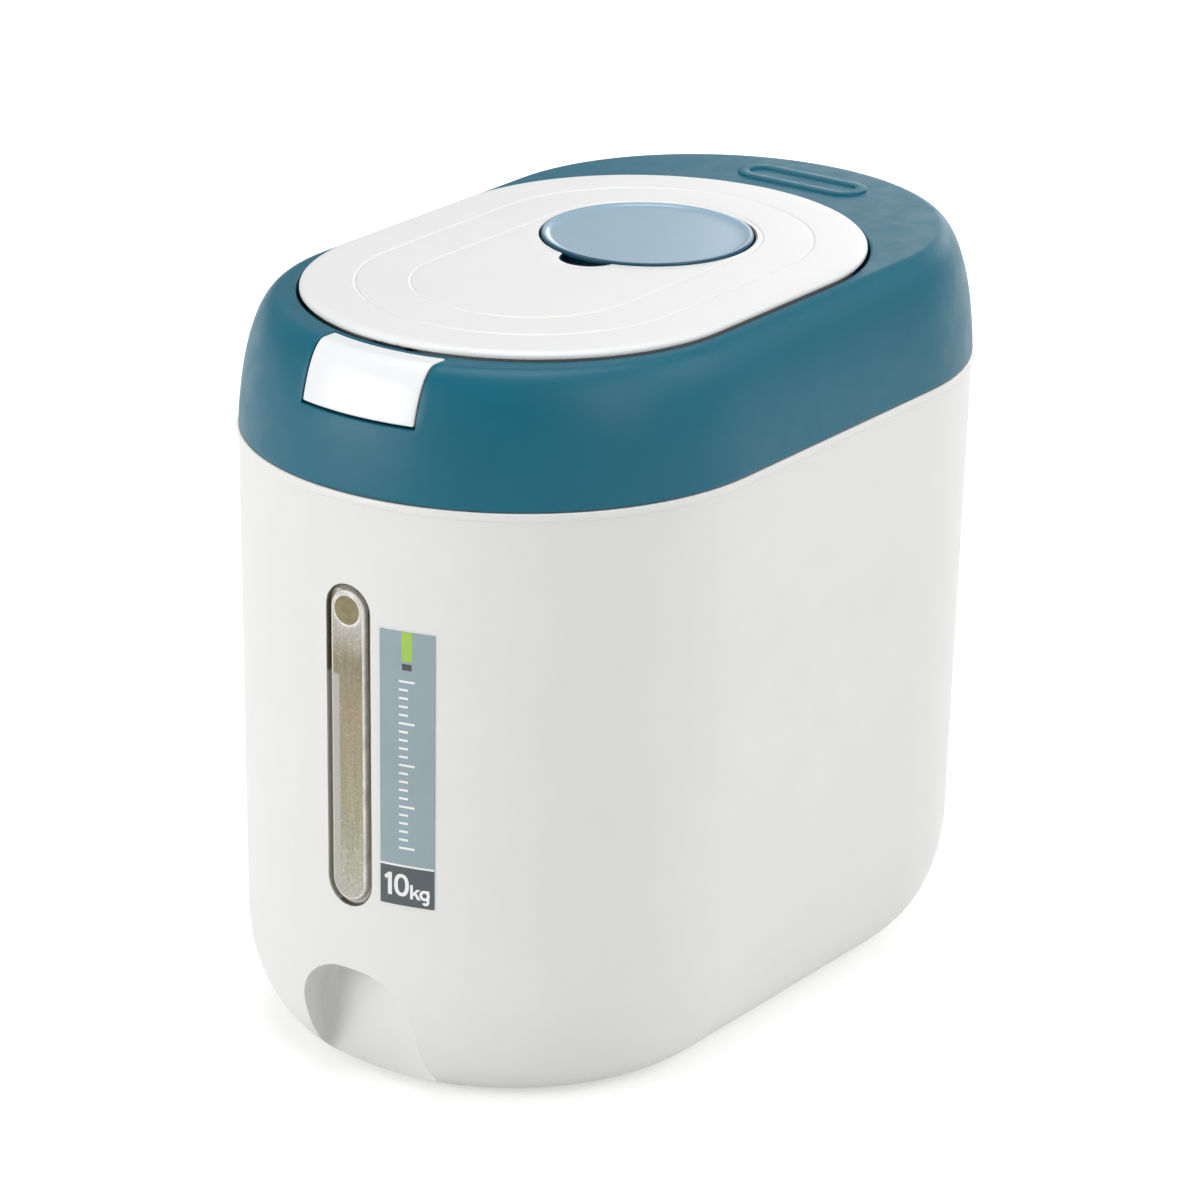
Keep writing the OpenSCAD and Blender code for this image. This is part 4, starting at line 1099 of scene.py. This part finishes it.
def build_cap():
    dish = CAP_TOP - 0.9
    basket_top = LID_TOP - 2.6
    plug, groove, plug_foot = 33.4, basket_top - 5.6, basket_top - 9.6
    round_r = 0.6
    profile = [(0, dish - 0.1), (12, dish - 0.09), (24, dish - 0.06), (34, dish - 0.02),
               (38.2, dish), (38.8, dish + 0.05), (39.2, dish + 0.2), (39.7, dish + 0.58),
               (40.1, dish + 0.8), (40.5, dish + 0.88), (40.9, CAP_TOP)]
    profile += arc_points(CAP_R - round_r, CAP_TOP - round_r, round_r, 90, 180, 4)
    profile += [(CAP_R, CAP_TOP - 1.9), (CAP_R - 0.2, CAP_TOP - 2.1),
                (CAP_R - 2.2, basket_top + 0.15), (CAP_R - 2.5, basket_top), (plug, basket_top),
                (plug, groove + 1.2), (plug - 0.8, groove + 1.2), (plug - 0.8, groove - 1.2),
                (plug, groove - 1.2), (plug, plug_foot + 0.3), (plug - 0.3, plug_foot),
                (plug - 1.9, plug_foot), (plug - 2.2, plug_foot + 0.3), (plug - 2.2, dish - 3.4),
                (plug - 2.8, dish - 2.9), (0, dish - 2.9)]
    cap = turned("cap_disc", profile, upright(CAP_Y), [finish_of(blue_abs)], 128)
    # The edge and underside in dark teal: the cap's teal with painted shade of the gap under its
    # rim
    paint(cap, finish_of(teal_gloss_abs_painted_shade),
          lambda c: math.hypot(c.x, c.y - CAP_Y) > CAP_R - 0.5 or c.z < dish - 0.3)
    return cap


# ----------------------------------------------------- window and its label

SLOT_LOW, SLOT_HIGH = WINDOW_LOW + WINDOW_HALF, WINDOW_TOP - WINDOW_HALF


def on_wall(x, z, depth):
    """Point on the front wall, depth millimetres in from its face."""
    r = bin_r(z) - depth
    return (x, -SPINE - math.sqrt(r * r - x * x), z)


def build_window():
    half = WINDOW_HALF - 0.15
    steps = [(0.02, 4.4), (7.0, 4.4), (14.6, 4.4), (15.0, 4.0), (15.0, 3.7), (14.8, 3.5),
             (half, 3.5), (half, 0.3), (half - 0.12, 0.15), (half - 0.4, 0.15), (half - 0.5, 0.3),
             (half - 0.6, 2.1), (half - 0.8, 2.3), (8.15, 2.3), (7.98, 2.1), (7.88, 0.35),
             (7.74, -0.02), (7.5, -0.22), (7.1, -0.3), (6.9, -0.3), (4.4, -0.3), (2.2, -0.3),
             (0.02, -0.3)]
    points, rows = ring_rows([
        [on_wall(x, z, depth) for x, z in slot_loop(w, SLOT_LOW - w, SLOT_HIGH + w, 32, 6, 24)]
        for w, depth in steps])
    rim, clear, shade, bright = 0, 1, 2, 3
    finishes = (clear_rim_styrene, clear_styrene, shaded_styrene, bright_bevel_styrene)
    lens = mesh_object("window_clear", points, swept_faces(rows),
                       [finish_of(maker) for maker in finishes], 40, closed=True)
    for face in lens.data.polygons:
        corners = [lens.data.vertices[v].co / MM for v in face.vertices]
        reach = [reach_from(SLOT_LOW, SLOT_HIGH, c.x, c.z) for c in corners]
        if face.center.y / MM >= on_wall(0, face.center.z / MM, 3.0)[1]:
            continue
        if max(reach) < 6.95:
            face.material_index = clear
        elif max(reach) < 8.0:
            face.material_index = bright
        else:
            face.material_index = shade if min(reach) > half - 0.65 else rim
    return join("window_insert", [lens, window_boss()])


def window_boss():
    """Round boss at the panel's upper end, with its bright turned edge."""
    profile = [(0.0, -0.36), (3.0, -0.36), (5.4, -0.36), (5.8, -0.42), (6.1, -0.5), (6.5, -0.5),
               (6.75, -0.42), (6.85, -0.28), (6.6, -0.1), (0.0, -0.1)]
    boss = turned(
        "window_boss", profile,
        lambda r, a, depth: on_wall(r * math.cos(a), SLOT_HIGH + r * math.sin(a), depth),
        [finish_of(boss_styrene)], 48, 40)
    paint(boss, finish_of(bright_bevel_styrene), lambda c: math.hypot(c.x, c.z - SLOT_HIGH) > 5.9)
    return boss


def label_point(s, z, lift):
    """Point of the label, s millimetres along the wall from its middle line."""
    r = bin_r(z) + 0.08 + lift
    a = s / bin_r((LABEL_LOW + LABEL_TOP) / 2)
    return (r * math.sin(a), -SPINE - r * math.cos(a), z)


def label_patch(name, s0, s1, z0, z1, low, high, material, cells):
    """A thin printed patch that follows the wall, with its edges closed."""
    points, faces, rims = [], [], []
    for lift in (high, low):
        grid = [add_row(points, [label_point(s, z, lift) for s in spaced(s0, s1, cells[0])])
                for z in spaced(z0, z1, cells[1])]
        faces += [quad for a, b in zip(grid, grid[1:]) for quad in strip(a, b)]
        rims.append(grid[0] + [row[-1] for row in grid[1:]] + grid[-1][-2::-1]
                    + [row[0] for row in grid[-2:0:-1]])
    return mesh_object(name, points, faces + swept_faces(rims), [material], 30, closed=True)


def printed_shape(name, loops, s_mid, baseline, low, high, material):
    """A printed figure on the label: an outline, or the band between two loops."""
    points = []
    front, back = ([add_row(points, [label_point(s_mid + x, baseline + z, lift) for x, z in loop])
                    for loop in loops] for lift in (high, low))
    banded = len(loops) > 1
    faces = swept_faces(front) + swept_faces(back) if banded else front + back
    for edges in zip(front, back):
        faces += swept_faces(edges)
    return mesh_object(name, points, faces, [material], 30, closed=True)


def oval(half_w, half_h, mid_z, power=2.3, count=48):
    """Points round an oval; a power above 2 squares it off."""
    turns = [2 * math.pi * i / count for i in range(count)]
    waves = [(math.cos(a), math.sin(a)) for a in turns]
    return [(half_w * math.copysign(abs(c) ** (2 / power), c),
             mid_z + half_h * math.copysign(abs(s) ** (2 / power), s)) for c, s in waves]


def capacity_figures(s0, baseline, low, high, material):
    """The generic capacity marking: a one, a nought and the kilogram sign."""
    tall = FIGURE_H
    one = [(0.85, 0.0), (0.85, tall), (-0.5, tall), (-2.4, tall - 1.7), (-1.8, tall - 3.0),
           (-0.85, tall - 2.3), (-0.85, 0.0)]
    nought = oval(3.1, tall / 2, tall / 2), oval(1.55, tall / 2 - 1.5, tall / 2)
    kilo = [(0.0, 0.0), (1.15, 0.0), (1.15, 1.3), (1.75, 1.95), (3.0, 0.0), (4.35, 0.0),
            (2.55, 2.8), (4.2, 4.3), (2.8, 4.3), (1.15, 2.6), (1.15, 5.9), (0.0, 5.9)]
    bowl = oval(2.1, 2.15, 2.15, 2.1), oval(0.95, 1.0, 2.15, 2.0)
    hook = [(1.5 * math.cos(a), -1.25 * math.sin(a)) for a in map(math.radians, range(0, 151, 10))]
    outside = [(1.95, 4.3)] + [(0.4 + 1.03 * x, -0.35 + 1.35 * z) for x, z in hook]
    inside = [(0.85, 4.3)] + [(0.4 + 0.3 * x, -0.35 + 0.5 * z) for x, z in hook]
    return [
        printed_shape(name, loops, s0 + s, baseline + z, low, high + lift, material)
        for name, loops, s, z, lift in (
            ("one", (one,), 4.1, 0.2, 0.0), ("nought", nought, 9.0, 0.2, 0.0),
            ("kilo", (kilo,), 12.6, -0.3, 0.0), ("gram_bowl", bowl, 18.5, -0.3, -0.02),
            ("gram_tail", (outside + inside[::-1],), 18.5, -0.3, 0.0))]


# ---------------------------------------------------------- geometry nodes

def nodes_tree(name, **inputs):
    """A geometry tree whose inputs have the given kinds, and its input node."""
    tree = bpy.data.node_groups.new(name, "GeometryNodeTree")
    for label, kind in inputs.items():
        tree.interface.new_socket(label, in_out="INPUT", socket_type="NodeSocket" + kind)
    tree.interface.new_socket("Geometry", in_out="OUTPUT", socket_type="NodeSocketGeometry")
    return tree, add(tree, "NodeGroupInput").outputs


def finished(tree, shapes, finish):
    """Ends a tree: what it made becomes real geometry with a material."""
    real = add(tree, "GeometryNodeRealizeInstances", {"Geometry": shapes})
    dressed = add(tree, "GeometryNodeSetMaterial", {"Geometry": real, "Material": finish})
    add(tree, "NodeGroupOutput", {"Geometry": dressed})
    return tree


def run_nodes(name, tree, base=None, **values):
    """Runs a geometry tree on a mesh and returns its result as a plain mesh object."""
    obj = new_object(name, base or bpy.data.meshes.new(name + "_base"))
    modifier = obj.modifiers.new("Pattern", "NODES")
    modifier.node_group = tree
    for item in tree.interface.items_tree:
        if item.in_out == "INPUT" and item.name in values:
            modifier[item.identifier] = values[item.name]
    return apply_modifiers(obj, 50)


def marks_tree():
    """Level marks: a column of short bars, every fifth one longer."""
    tree, given = nodes_tree("Level marks", Marks="Int", Height="Float", Length="Float",
                             Width="Float", Finish="Material")
    gaps = add(tree, "ShaderNodeMath", {0: given["Marks"], 1: 1.0}, operation="SUBTRACT")
    step = add(tree, "ShaderNodeMath", {0: given["Height"], 1: gaps}, operation="DIVIDE")
    offset = add(tree, "ShaderNodeCombineXYZ", {"Z": step})
    line = add(tree, "GeometryNodeMeshLine", {"Count": given["Marks"], "Offset": offset})
    index = add(tree, "GeometryNodeInputIndex")
    fifth = add(tree, "ShaderNodeMath", {0: index, 1: 5.0}, operation="MODULO")
    short = add(tree, "ShaderNodeMath", {0: fifth, 1: 0.5}, operation="GREATER_THAN")
    length = add(tree, "ShaderNodeMath", {0: short, 1: -0.42, 2: 1.0}, operation="MULTIPLY_ADD")
    scale = add(tree, "ShaderNodeCombineXYZ", {"X": length, "Y": 1.0, "Z": 1.0})
    bar = add(tree, "GeometryNodeMeshGrid", {
        "Size X": given["Length"], "Size Y": given["Width"], "Vertices X": 5, "Vertices Y": 2})
    half = add(tree, "ShaderNodeMath", {0: given["Length"], 1: 0.5}, operation="MULTIPLY")
    shift = add(tree, "ShaderNodeCombineXYZ", {"X": half})
    upright_bar = add(tree, "GeometryNodeTransform", {
        "Geometry": bar, "Translation": shift, "Rotation": (math.pi / 2, 0, 0)})
    bars = add(tree, "GeometryNodeInstanceOnPoints", {
        "Points": line, "Instance": upright_bar, "Scale": scale})
    return finished(tree, bars, given["Finish"])


def sweep_tree():
    """A round section swept along the edges of a path: wires."""
    tree, given = nodes_tree("Swept section", Path="Geometry", Radius="Float", Sides="Int",
                             Finish="Material")
    path = add(tree, "GeometryNodeMeshToCurve", {"Mesh": given["Path"]})
    section = add(tree, "GeometryNodeCurvePrimitiveCircle", {
        "Radius": given["Radius"], "Resolution": given["Sides"]})
    swept = add(tree, "GeometryNodeCurveToMesh", {
        "Curve": path, "Profile Curve": section, "Fill Caps": True})
    return finished(tree, swept, given["Finish"])


def screws_tree():
    """Copies of one screw at the points of a mesh."""
    tree, given = nodes_tree("Screws at points", Points="Geometry", Screw="Object",
                             Finish="Material")
    screw = add(tree, "GeometryNodeObjectInfo", {"Object": given["Screw"]})
    screws = add(tree, "GeometryNodeInstanceOnPoints", {
        "Points": given["Points"], "Instance": screw.outputs["Geometry"]})
    return finished(tree, screws, given["Finish"])


def path_mesh(name, path, joined):
    """A mesh of bare points, joined by edges or not."""
    mesh = bpy.data.meshes.new(name)
    edges = [(i, i + 1) for i in range(len(path) - 1)] if joined else []
    mesh.from_pydata([Vector(p) * MM for p in path], edges, [])
    return mesh


def wire_through(name, path, radius_mm):
    obj = run_nodes(name, sweep_tree(), path_mesh(name + "_path", path, True),
                    Radius=radius_mm * MM, Sides=12, Finish=finish_of(drawn_spring_steel))
    face_outwards(obj.data)
    smooth(obj.data, 50)
    return obj


HEAD_R, HEAD_H = 2.8, 1.9        # head of the pan-head screws


def fastener(name, shank):
    """One pan-head screw that points up from its head, with a cross recess."""
    profile = [(0, 0.9 - HEAD_H), (0.5, 0.9 - HEAD_H), (0.62, -HEAD_H), (HEAD_R - 0.8, -HEAD_H),
               (HEAD_R - 0.25, 0.25 - HEAD_H), (HEAD_R, 0.8 - HEAD_H), (HEAD_R, -0.05),
               (HEAD_R - 0.1, 0), (1.45, 0), (1.45, shank - 1.2), (0.5, shank), (0, shank)]
    screw = turned(name, profile, upright(0), [finish_of(zinc_plated_steel)], 32)
    mesh = bpy.data.meshes.new("recess")
    with edited(mesh) as bm:
        for half_x, half_y in ((0.35, 1.7), (1.7, 0.35)):
            for v in bmesh.ops.create_cube(bm, size=2)["verts"]:
                v.co = Vector((v.co.x * half_x, v.co.y * half_y, v.co.z * 0.55 - HEAD_H)) * MM
    tool = new_object("recess", mesh)
    cut = screw.modifiers.new("Recess", "BOOLEAN")
    cut.operation, cut.object, cut.solver, cut.use_self = "DIFFERENCE", tool, "EXACT", True
    apply_modifiers(screw)
    bpy.data.objects.remove(tool)
    return screw


def screw_places(node):
    """Places under the heads and the shank length of a node's screws, read off its mesh."""
    low, high = (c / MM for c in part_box(node))
    heads = []
    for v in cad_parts[node].data.vertices:
        x, y, z = v.co / MM
        if z < low.z + 0.01:
            head = next((h for h in heads if math.dist(h[0], (x, y)) < 2 * HEAD_R + 0.4), None)
            if head is None:
                head = []
                heads.append(head)
            head.append((x, y))
    middles = [[(min(side) + max(side)) / 2 for side in zip(*head)] for head in heads]
    return [(x, y, low.z + HEAD_H) for x, y in middles], high.z - low.z - HEAD_H


def screws_at(name, node):
    spots, shank = screw_places(node)
    screw = fastener(name + "_one", shank)
    obj = run_nodes(name, screws_tree(), path_mesh(name + "_points", spots, False),
                    Screw=screw, Finish=finish_of(zinc_plated_steel))
    bpy.data.objects.remove(screw)
    smooth(obj.data, 35)
    return obj


def helix(turns, start, end, turn_steps=24):
    """Angle and place along the axis, all down a coil."""
    return [(2 * math.pi * i / turn_steps, along)
            for i, along in enumerate(spaced(start, end, turns * turn_steps))]


def torsion_coil():
    half, r = 10.0, 3.7
    foot_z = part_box("hinge_spring")[0].z / MM
    path = [(-half, HINGE_Y + 9, HINGE_Z - r + 0.2)]
    path += [(x, HINGE_Y - r * math.sin(a), HINGE_Z - r * math.cos(a))
             for a, x in helix(6, -half, half)]
    path.append((half + 0.4, HINGE_Y - 1.2, foot_z + 0.6))
    return wire_through("torsion_coil", path, 0.5)


def press_coil():
    low, high = (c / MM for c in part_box("button_spring"))
    r, mid_z = 2.2, (low.z + high.z) / 2
    path = [(r * math.cos(a), y, mid_z + r * math.sin(a))
            for a, y in helix(5, low.y + 0.4 + PRESS_ROOM, high.y - 0.4)]
    return wire_through("press_coil", path, 0.38)


# --------------------------------------------------------------- operators

def dress(maker, *nodes):
    """Gives frame nodes their finish."""
    for node in nodes:
        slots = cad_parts[node].data.materials
        slots.clear()
        slots.append(finish_of(maker))


def stands_for(piece, body, slot, *nodes):
    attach(piece, body)
    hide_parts(*nodes)


class RICEBIN_OT_bin(bpy.types.Operator):
    """Moulded bin with its rounded foot, hand notches, window opening, bead and neck"""
    bl_idname = "rice_bin.bin"
    bl_label = "Bin"

    def execute(self, context):
        stands_for(build_bin(), "bin", "white_shell", "bin_body")
        dress(dark_rubber, "foot_pads")
        return {"FINISHED"}


class RICEBIN_OT_window(bpy.types.Operator):
    """Clear upright window insert and its gasket"""
    bl_idname = "rice_bin.window"
    bl_label = "Window"

    def execute(self, context):
        stands_for(build_window(), "bin", "clear_lens", "window_lens")
        dress(dark_rubber, "window_gasket")
        return {"FINISHED"}


class RICEBIN_OT_label(bpy.types.Operator):
    """Printed label: ground, bar, level marks and a capacity box"""
    bl_idname = "rice_bin.label"
    bl_label = "Label"

    def execute(self, context):
        ground = finish_of(printed_film, "printed_film_ground", colours().label)
        slate = finish_of(printed_film, "printed_film_slate", colours().slate)
        lime = finish_of(printed_film, "printed_film_lime", colours().lime)
        dark = finish_of(printed_film, "printed_film_dark", linear("#353b3d"))
        white = finish_of(printed_film, "printed_film_white", linear("#eef0ef"))
        s0, s1 = LABEL_START, LABEL_START + LABEL_W
        mid = (s0 + s1) / 2
        face = 0.25              # thickness of the film
        ink = face + 0.03
        box_top, line_top = LABEL_LOW + 16.1, LABEL_LOW + 16.9
        parts = [label_patch("ground", s0, s1, LABEL_LOW, LABEL_TOP, 0.0, face, ground, (12, 40))]
        parts += [label_patch(name, *place, face - 0.05, ink, film, cells)
                  for name, place, film, cells in (
                      ("box", (s0, s1, LABEL_LOW, box_top), slate, (12, 8)),
                      ("line", (s0, s1, box_top, line_top), white, (12, 2)),
                      ("bar", (mid - 2.1, mid + 2.2, LABEL_TOP - 11.8, LABEL_TOP), lime, (4, 8)),
                      ("tab", (mid - 1.9, mid + 2.0, LABEL_TOP - 15.4, LABEL_TOP - 12.8), dark,
                       (4, 4)))]
        parts += capacity_figures(s0, LABEL_LOW + 3.6, ink - 0.02, ink + 0.04, white)
        low, high = LABEL_LOW + 24.0, LABEL_TOP - 20.0
        marks = run_nodes("marks", marks_tree(), Marks=sizes().scale_marks,
                          Height=(high - low) * MM, Length=6.4 * MM, Width=0.9 * MM, Finish=white)
        for v in marks.data.vertices:
            x, _, z = v.co / MM
            v.co = Vector(label_point(mid - 3.2 + x, low + z, ink)) * MM
        stands_for(join("label_print", parts + [marks]), "bin", "label_film", "capacity_label")
        return {"FINISHED"}


class RICEBIN_OT_collar(bpy.types.Operator):
    """Collar with its rounded shoulder, lid opening, button opening, mouth and hinge chamber"""
    bl_idname = "rice_bin.collar"
    bl_label = "Collar"

    def execute(self, context):
        stands_for(build_collar(), "bin", "teal_shell", "collar")
        dress(teal_abs, "hinge_cover")
        dress(silicone_rubber, "collar_gasket")
        return {"FINISHED"}


class RICEBIN_OT_button(bpy.types.Operator):
    """Glossy push button with its catch frame"""
    bl_idname = "rice_bin.button"
    bl_label = "Push button"

    def execute(self, context):
        stands_for(build_button(), "button", "white_button", "push_button")
        return {"FINISHED"}


class RICEBIN_OT_lid(bpy.types.Operator):
    """Lid panel with its engraved lines, well and finger notch, and the parts under it"""
    bl_idname = "rice_bin.lid"
    bl_label = "Lid"

    def execute(self, context):
        stands_for(build_lid(), "lid", "white_shell", "lid_panel")
        # The latch is dark as painted shade in the lid's gap
        dress(dark_latch_painted_shade, "latch_hook")
        # The basket in dark teal, partly painted shade seen through the finger notch
        dress(teal_gloss_abs_painted_shade, "desiccant_basket")
        dress(natural_polypropylene, "lid_liner", "hinge_bushes")
        dress(silicone_rubber, "lid_seal")
        dress(bonded_fibre_paper, "desiccant_pack")
        return {"FINISHED"}


class RICEBIN_OT_cap(bpy.types.Operator):
    """Round cap with its raised rim and sealing ring"""
    bl_idname = "rice_bin.cap"
    bl_label = "Round cap"

    def execute(self, context):
        stands_for(build_cap(), "cap", "blue_cap", "round_cap")
        dress(silicone_rubber, "cap_seal")
        return {"FINISHED"}


class RICEBIN_OT_hardware(bpy.types.Operator):
    """Screws, pins, clips and springs"""
    bl_idname = "rice_bin.hardware"
    bl_label = "Hardware"

    def execute(self, context):
        dress(zinc_plated_steel, "hinge_pin", "pin_clips", "button_pin")
        for node, body in (("lid_screws", "lid"), ("cover_screws", "bin")):
            stands_for(screws_at(node + "_cross_head", node), body, "steel", node)
        stands_for(torsion_coil(), "bin", "spring_steel", "hinge_spring")
        stands_for(press_coil(), "bin", "spring_steel", "button_spring")
        return {"FINISHED"}


class RICEBIN_OT_stage(bpy.types.Operator):
    """Pale floor, soft studio lights and the camera"""
    bl_idname = "rice_bin.stage"
    bl_label = "Stage"

    def execute(self, context):
        build_floor()
        build_world()
        build_lights()
        build_camera()
        context.scene.view_settings.view_transform = "Standard"
        return {"FINISHED"}


def seen_by(tree, *rays):
    """1 for rays of the named kinds."""
    path = add(tree, "ShaderNodeLightPath").outputs
    seen = path[rays[0]]
    for ray in rays[1:]:
        seen = add(tree, "ShaderNodeMath", {0: seen, 1: path[ray]}, operation="MAXIMUM")
    return seen


def build_floor():
    # Matt paper that glows to the camera and in gloss, so that it goes over into the white world
    finish = Finish("matt_paper_backdrop")
    away = finish.add("ShaderNodeVectorMath", {0: finish.place}, operation="LENGTH")
    fade = finish.add("ShaderNodeMapRange", {
        "Value": away, "From Min": 0.5, "From Max": 2.0, "To Min": 0.48, "To Max": 1.0},
        interpolation_type="SMOOTHSTEP")
    seen = seen_by(finish.tree, "Is Camera Ray", "Is Glossy Ray", "Is Transmission Ray")
    glow = finish.add("ShaderNodeMath", {0: seen, 1: fade}, operation="MULTIPLY")
    mesh = bpy.data.meshes.new("floor")
    with edited(mesh) as bm:
        bmesh.ops.create_grid(bm, x_segments=8, y_segments=8, size=9.0)
    mesh.materials.append(finish.made(
        Base_Color=finish.pigment(60.0, linear("#e4e4e3"), 0.004), Roughness=0.9,
        Emission_Color=(1, 1, 1), Emission_Strength=glow))
    new_object("floor", mesh)


def build_world():
    world = bpy.data.worlds.new("studio")
    bpy.context.scene.world = world
    world.use_nodes = True
    tree = world.node_tree
    # White to the camera; gloss and glass see it greyer, as in a room with dark flags
    ambient = add(tree, "ShaderNodeMapRange", {
        "Value": seen_by(tree, "Is Glossy Ray", "Is Transmission Ray"),
        "To Min": 0.2, "To Max": 0.45})
    strength = add(tree, "ShaderNodeMath", {0: ambient, 1: seen_by(tree, "Is Camera Ray")},
                   operation="MAXIMUM")
    fill(tree, tree.nodes["Background"], {"Color": (1, 1, 1), "Strength": strength})


# Each softbox: name, azimuth and elevation in degrees, distance and size in metres, watts
SOFTBOXES = (
    ("front_left_softbox", -28, 12, 2.2, (1.4, 1.2), 25.0),
    ("right_softbox", 78, 28, 2.2, (1.0, 1.2), 13.0),
    ("rear_right_softbox", 124, 34, 2.2, (1.2, 1.2), 11.5),
    ("overhead_softbox", 0, 89, 2.0, (1.5, 1.5), 23.0),
    ("rear_softbox", 192, 12, 2.2, (1.6, 0.6), 7.0))
LIGHTS_AIM = Vector((0.0, 0.0, 0.16))
# The camera that was fitted to the photo, in degrees, metres and millimetres of lens
CAMERA = {"azimuth": 34.8826, "elevation": 20.6058, "distance": 2.2224657, "roll": 1.1006,
          "aim": (-0.0042155, -0.0006918, 0.1549025), "lens": 165.27}


def direction(azimuth, elevation):
    """Unit vector towards an azimuth from the front and an elevation, in degrees."""
    a, e = math.radians(azimuth), math.radians(elevation)
    return Vector((math.sin(a) * math.cos(e), -math.cos(a) * math.cos(e), math.sin(e)))


def build_lights():
    for name, azimuth, elevation, distance, size, power in SOFTBOXES:
        light = bpy.data.lights.new(name, "AREA")
        light.shape, light.energy = "RECTANGLE", power
        light.size, light.size_y = size
        obj = new_object(name, light)
        obj.location = direction(azimuth, elevation) * distance + LIGHTS_AIM
        obj.rotation_mode = "QUATERNION"
        obj.rotation_quaternion = (LIGHTS_AIM - obj.location).to_track_quat("-Z", "Y")


def build_camera():
    back = direction(CAMERA["azimuth"], CAMERA["elevation"])
    side = Vector((0, 0, 1)).cross(back).normalized()
    up = back.cross(side)
    roll = math.radians(CAMERA["roll"])
    x_axis = side * math.cos(roll) + up * math.sin(roll)
    y_axis = -side * math.sin(roll) + up * math.cos(roll)
    data = bpy.data.cameras.new("camera")
    data.sensor_width, data.lens, data.clip_end = 36.0, CAMERA["lens"], 50.0
    camera = new_object("camera", data)
    camera.matrix_world = Matrix((x_axis, y_axis, back)).transposed().to_4x4()
    camera.location = Vector(CAMERA["aim"]) + back * CAMERA["distance"]
    bpy.context.scene.camera = camera


class RICEBIN_PT_panel(bpy.types.Panel):
    """Pieces and settings of the rice bin"""
    bl_idname = "RICEBIN_PT_panel"
    bl_label = "Rice bin"
    bl_space_type = "VIEW_3D"
    bl_region_type = "UI"
    bl_category = "Rice bin"

    def draw(self, context):
        layout = self.layout
        for group in (context.scene.rice_bin_sizes, context.scene.rice_bin_colours):
            box = layout.box()
            for key in group.bl_rna.properties.keys():
                if key not in ("rna_type", "name"):
                    box.prop(group, key)
        column = layout.column(align=True)
        for operator in PIECES:
            column.operator(operator.bl_idname)


PIECES = (RICEBIN_OT_bin, RICEBIN_OT_window, RICEBIN_OT_label, RICEBIN_OT_collar, RICEBIN_OT_button,
          RICEBIN_OT_lid, RICEBIN_OT_cap, RICEBIN_OT_hardware, RICEBIN_OT_stage)
CLASSES = (RiceBinSizes, RiceBinColours) + PIECES + (RICEBIN_PT_panel,)


def register():
    for item in CLASSES:
        bpy.utils.register_class(item)
    bpy.types.Scene.rice_bin_sizes = bpy.props.PointerProperty(type=RiceBinSizes)
    bpy.types.Scene.rice_bin_colours = bpy.props.PointerProperty(type=RiceBinColours)


def unregister():
    del bpy.types.Scene.rice_bin_colours
    del bpy.types.Scene.rice_bin_sizes
    for item in reversed(CLASSES):
        bpy.utils.unregister_class(item)


def main():
    register()
    for name in ("bin", "window", "label", "collar", "button", "lid", "cap", "hardware", "stage"):
        getattr(bpy.ops.rice_bin, name)()


if __name__ == "__main__":
    main()
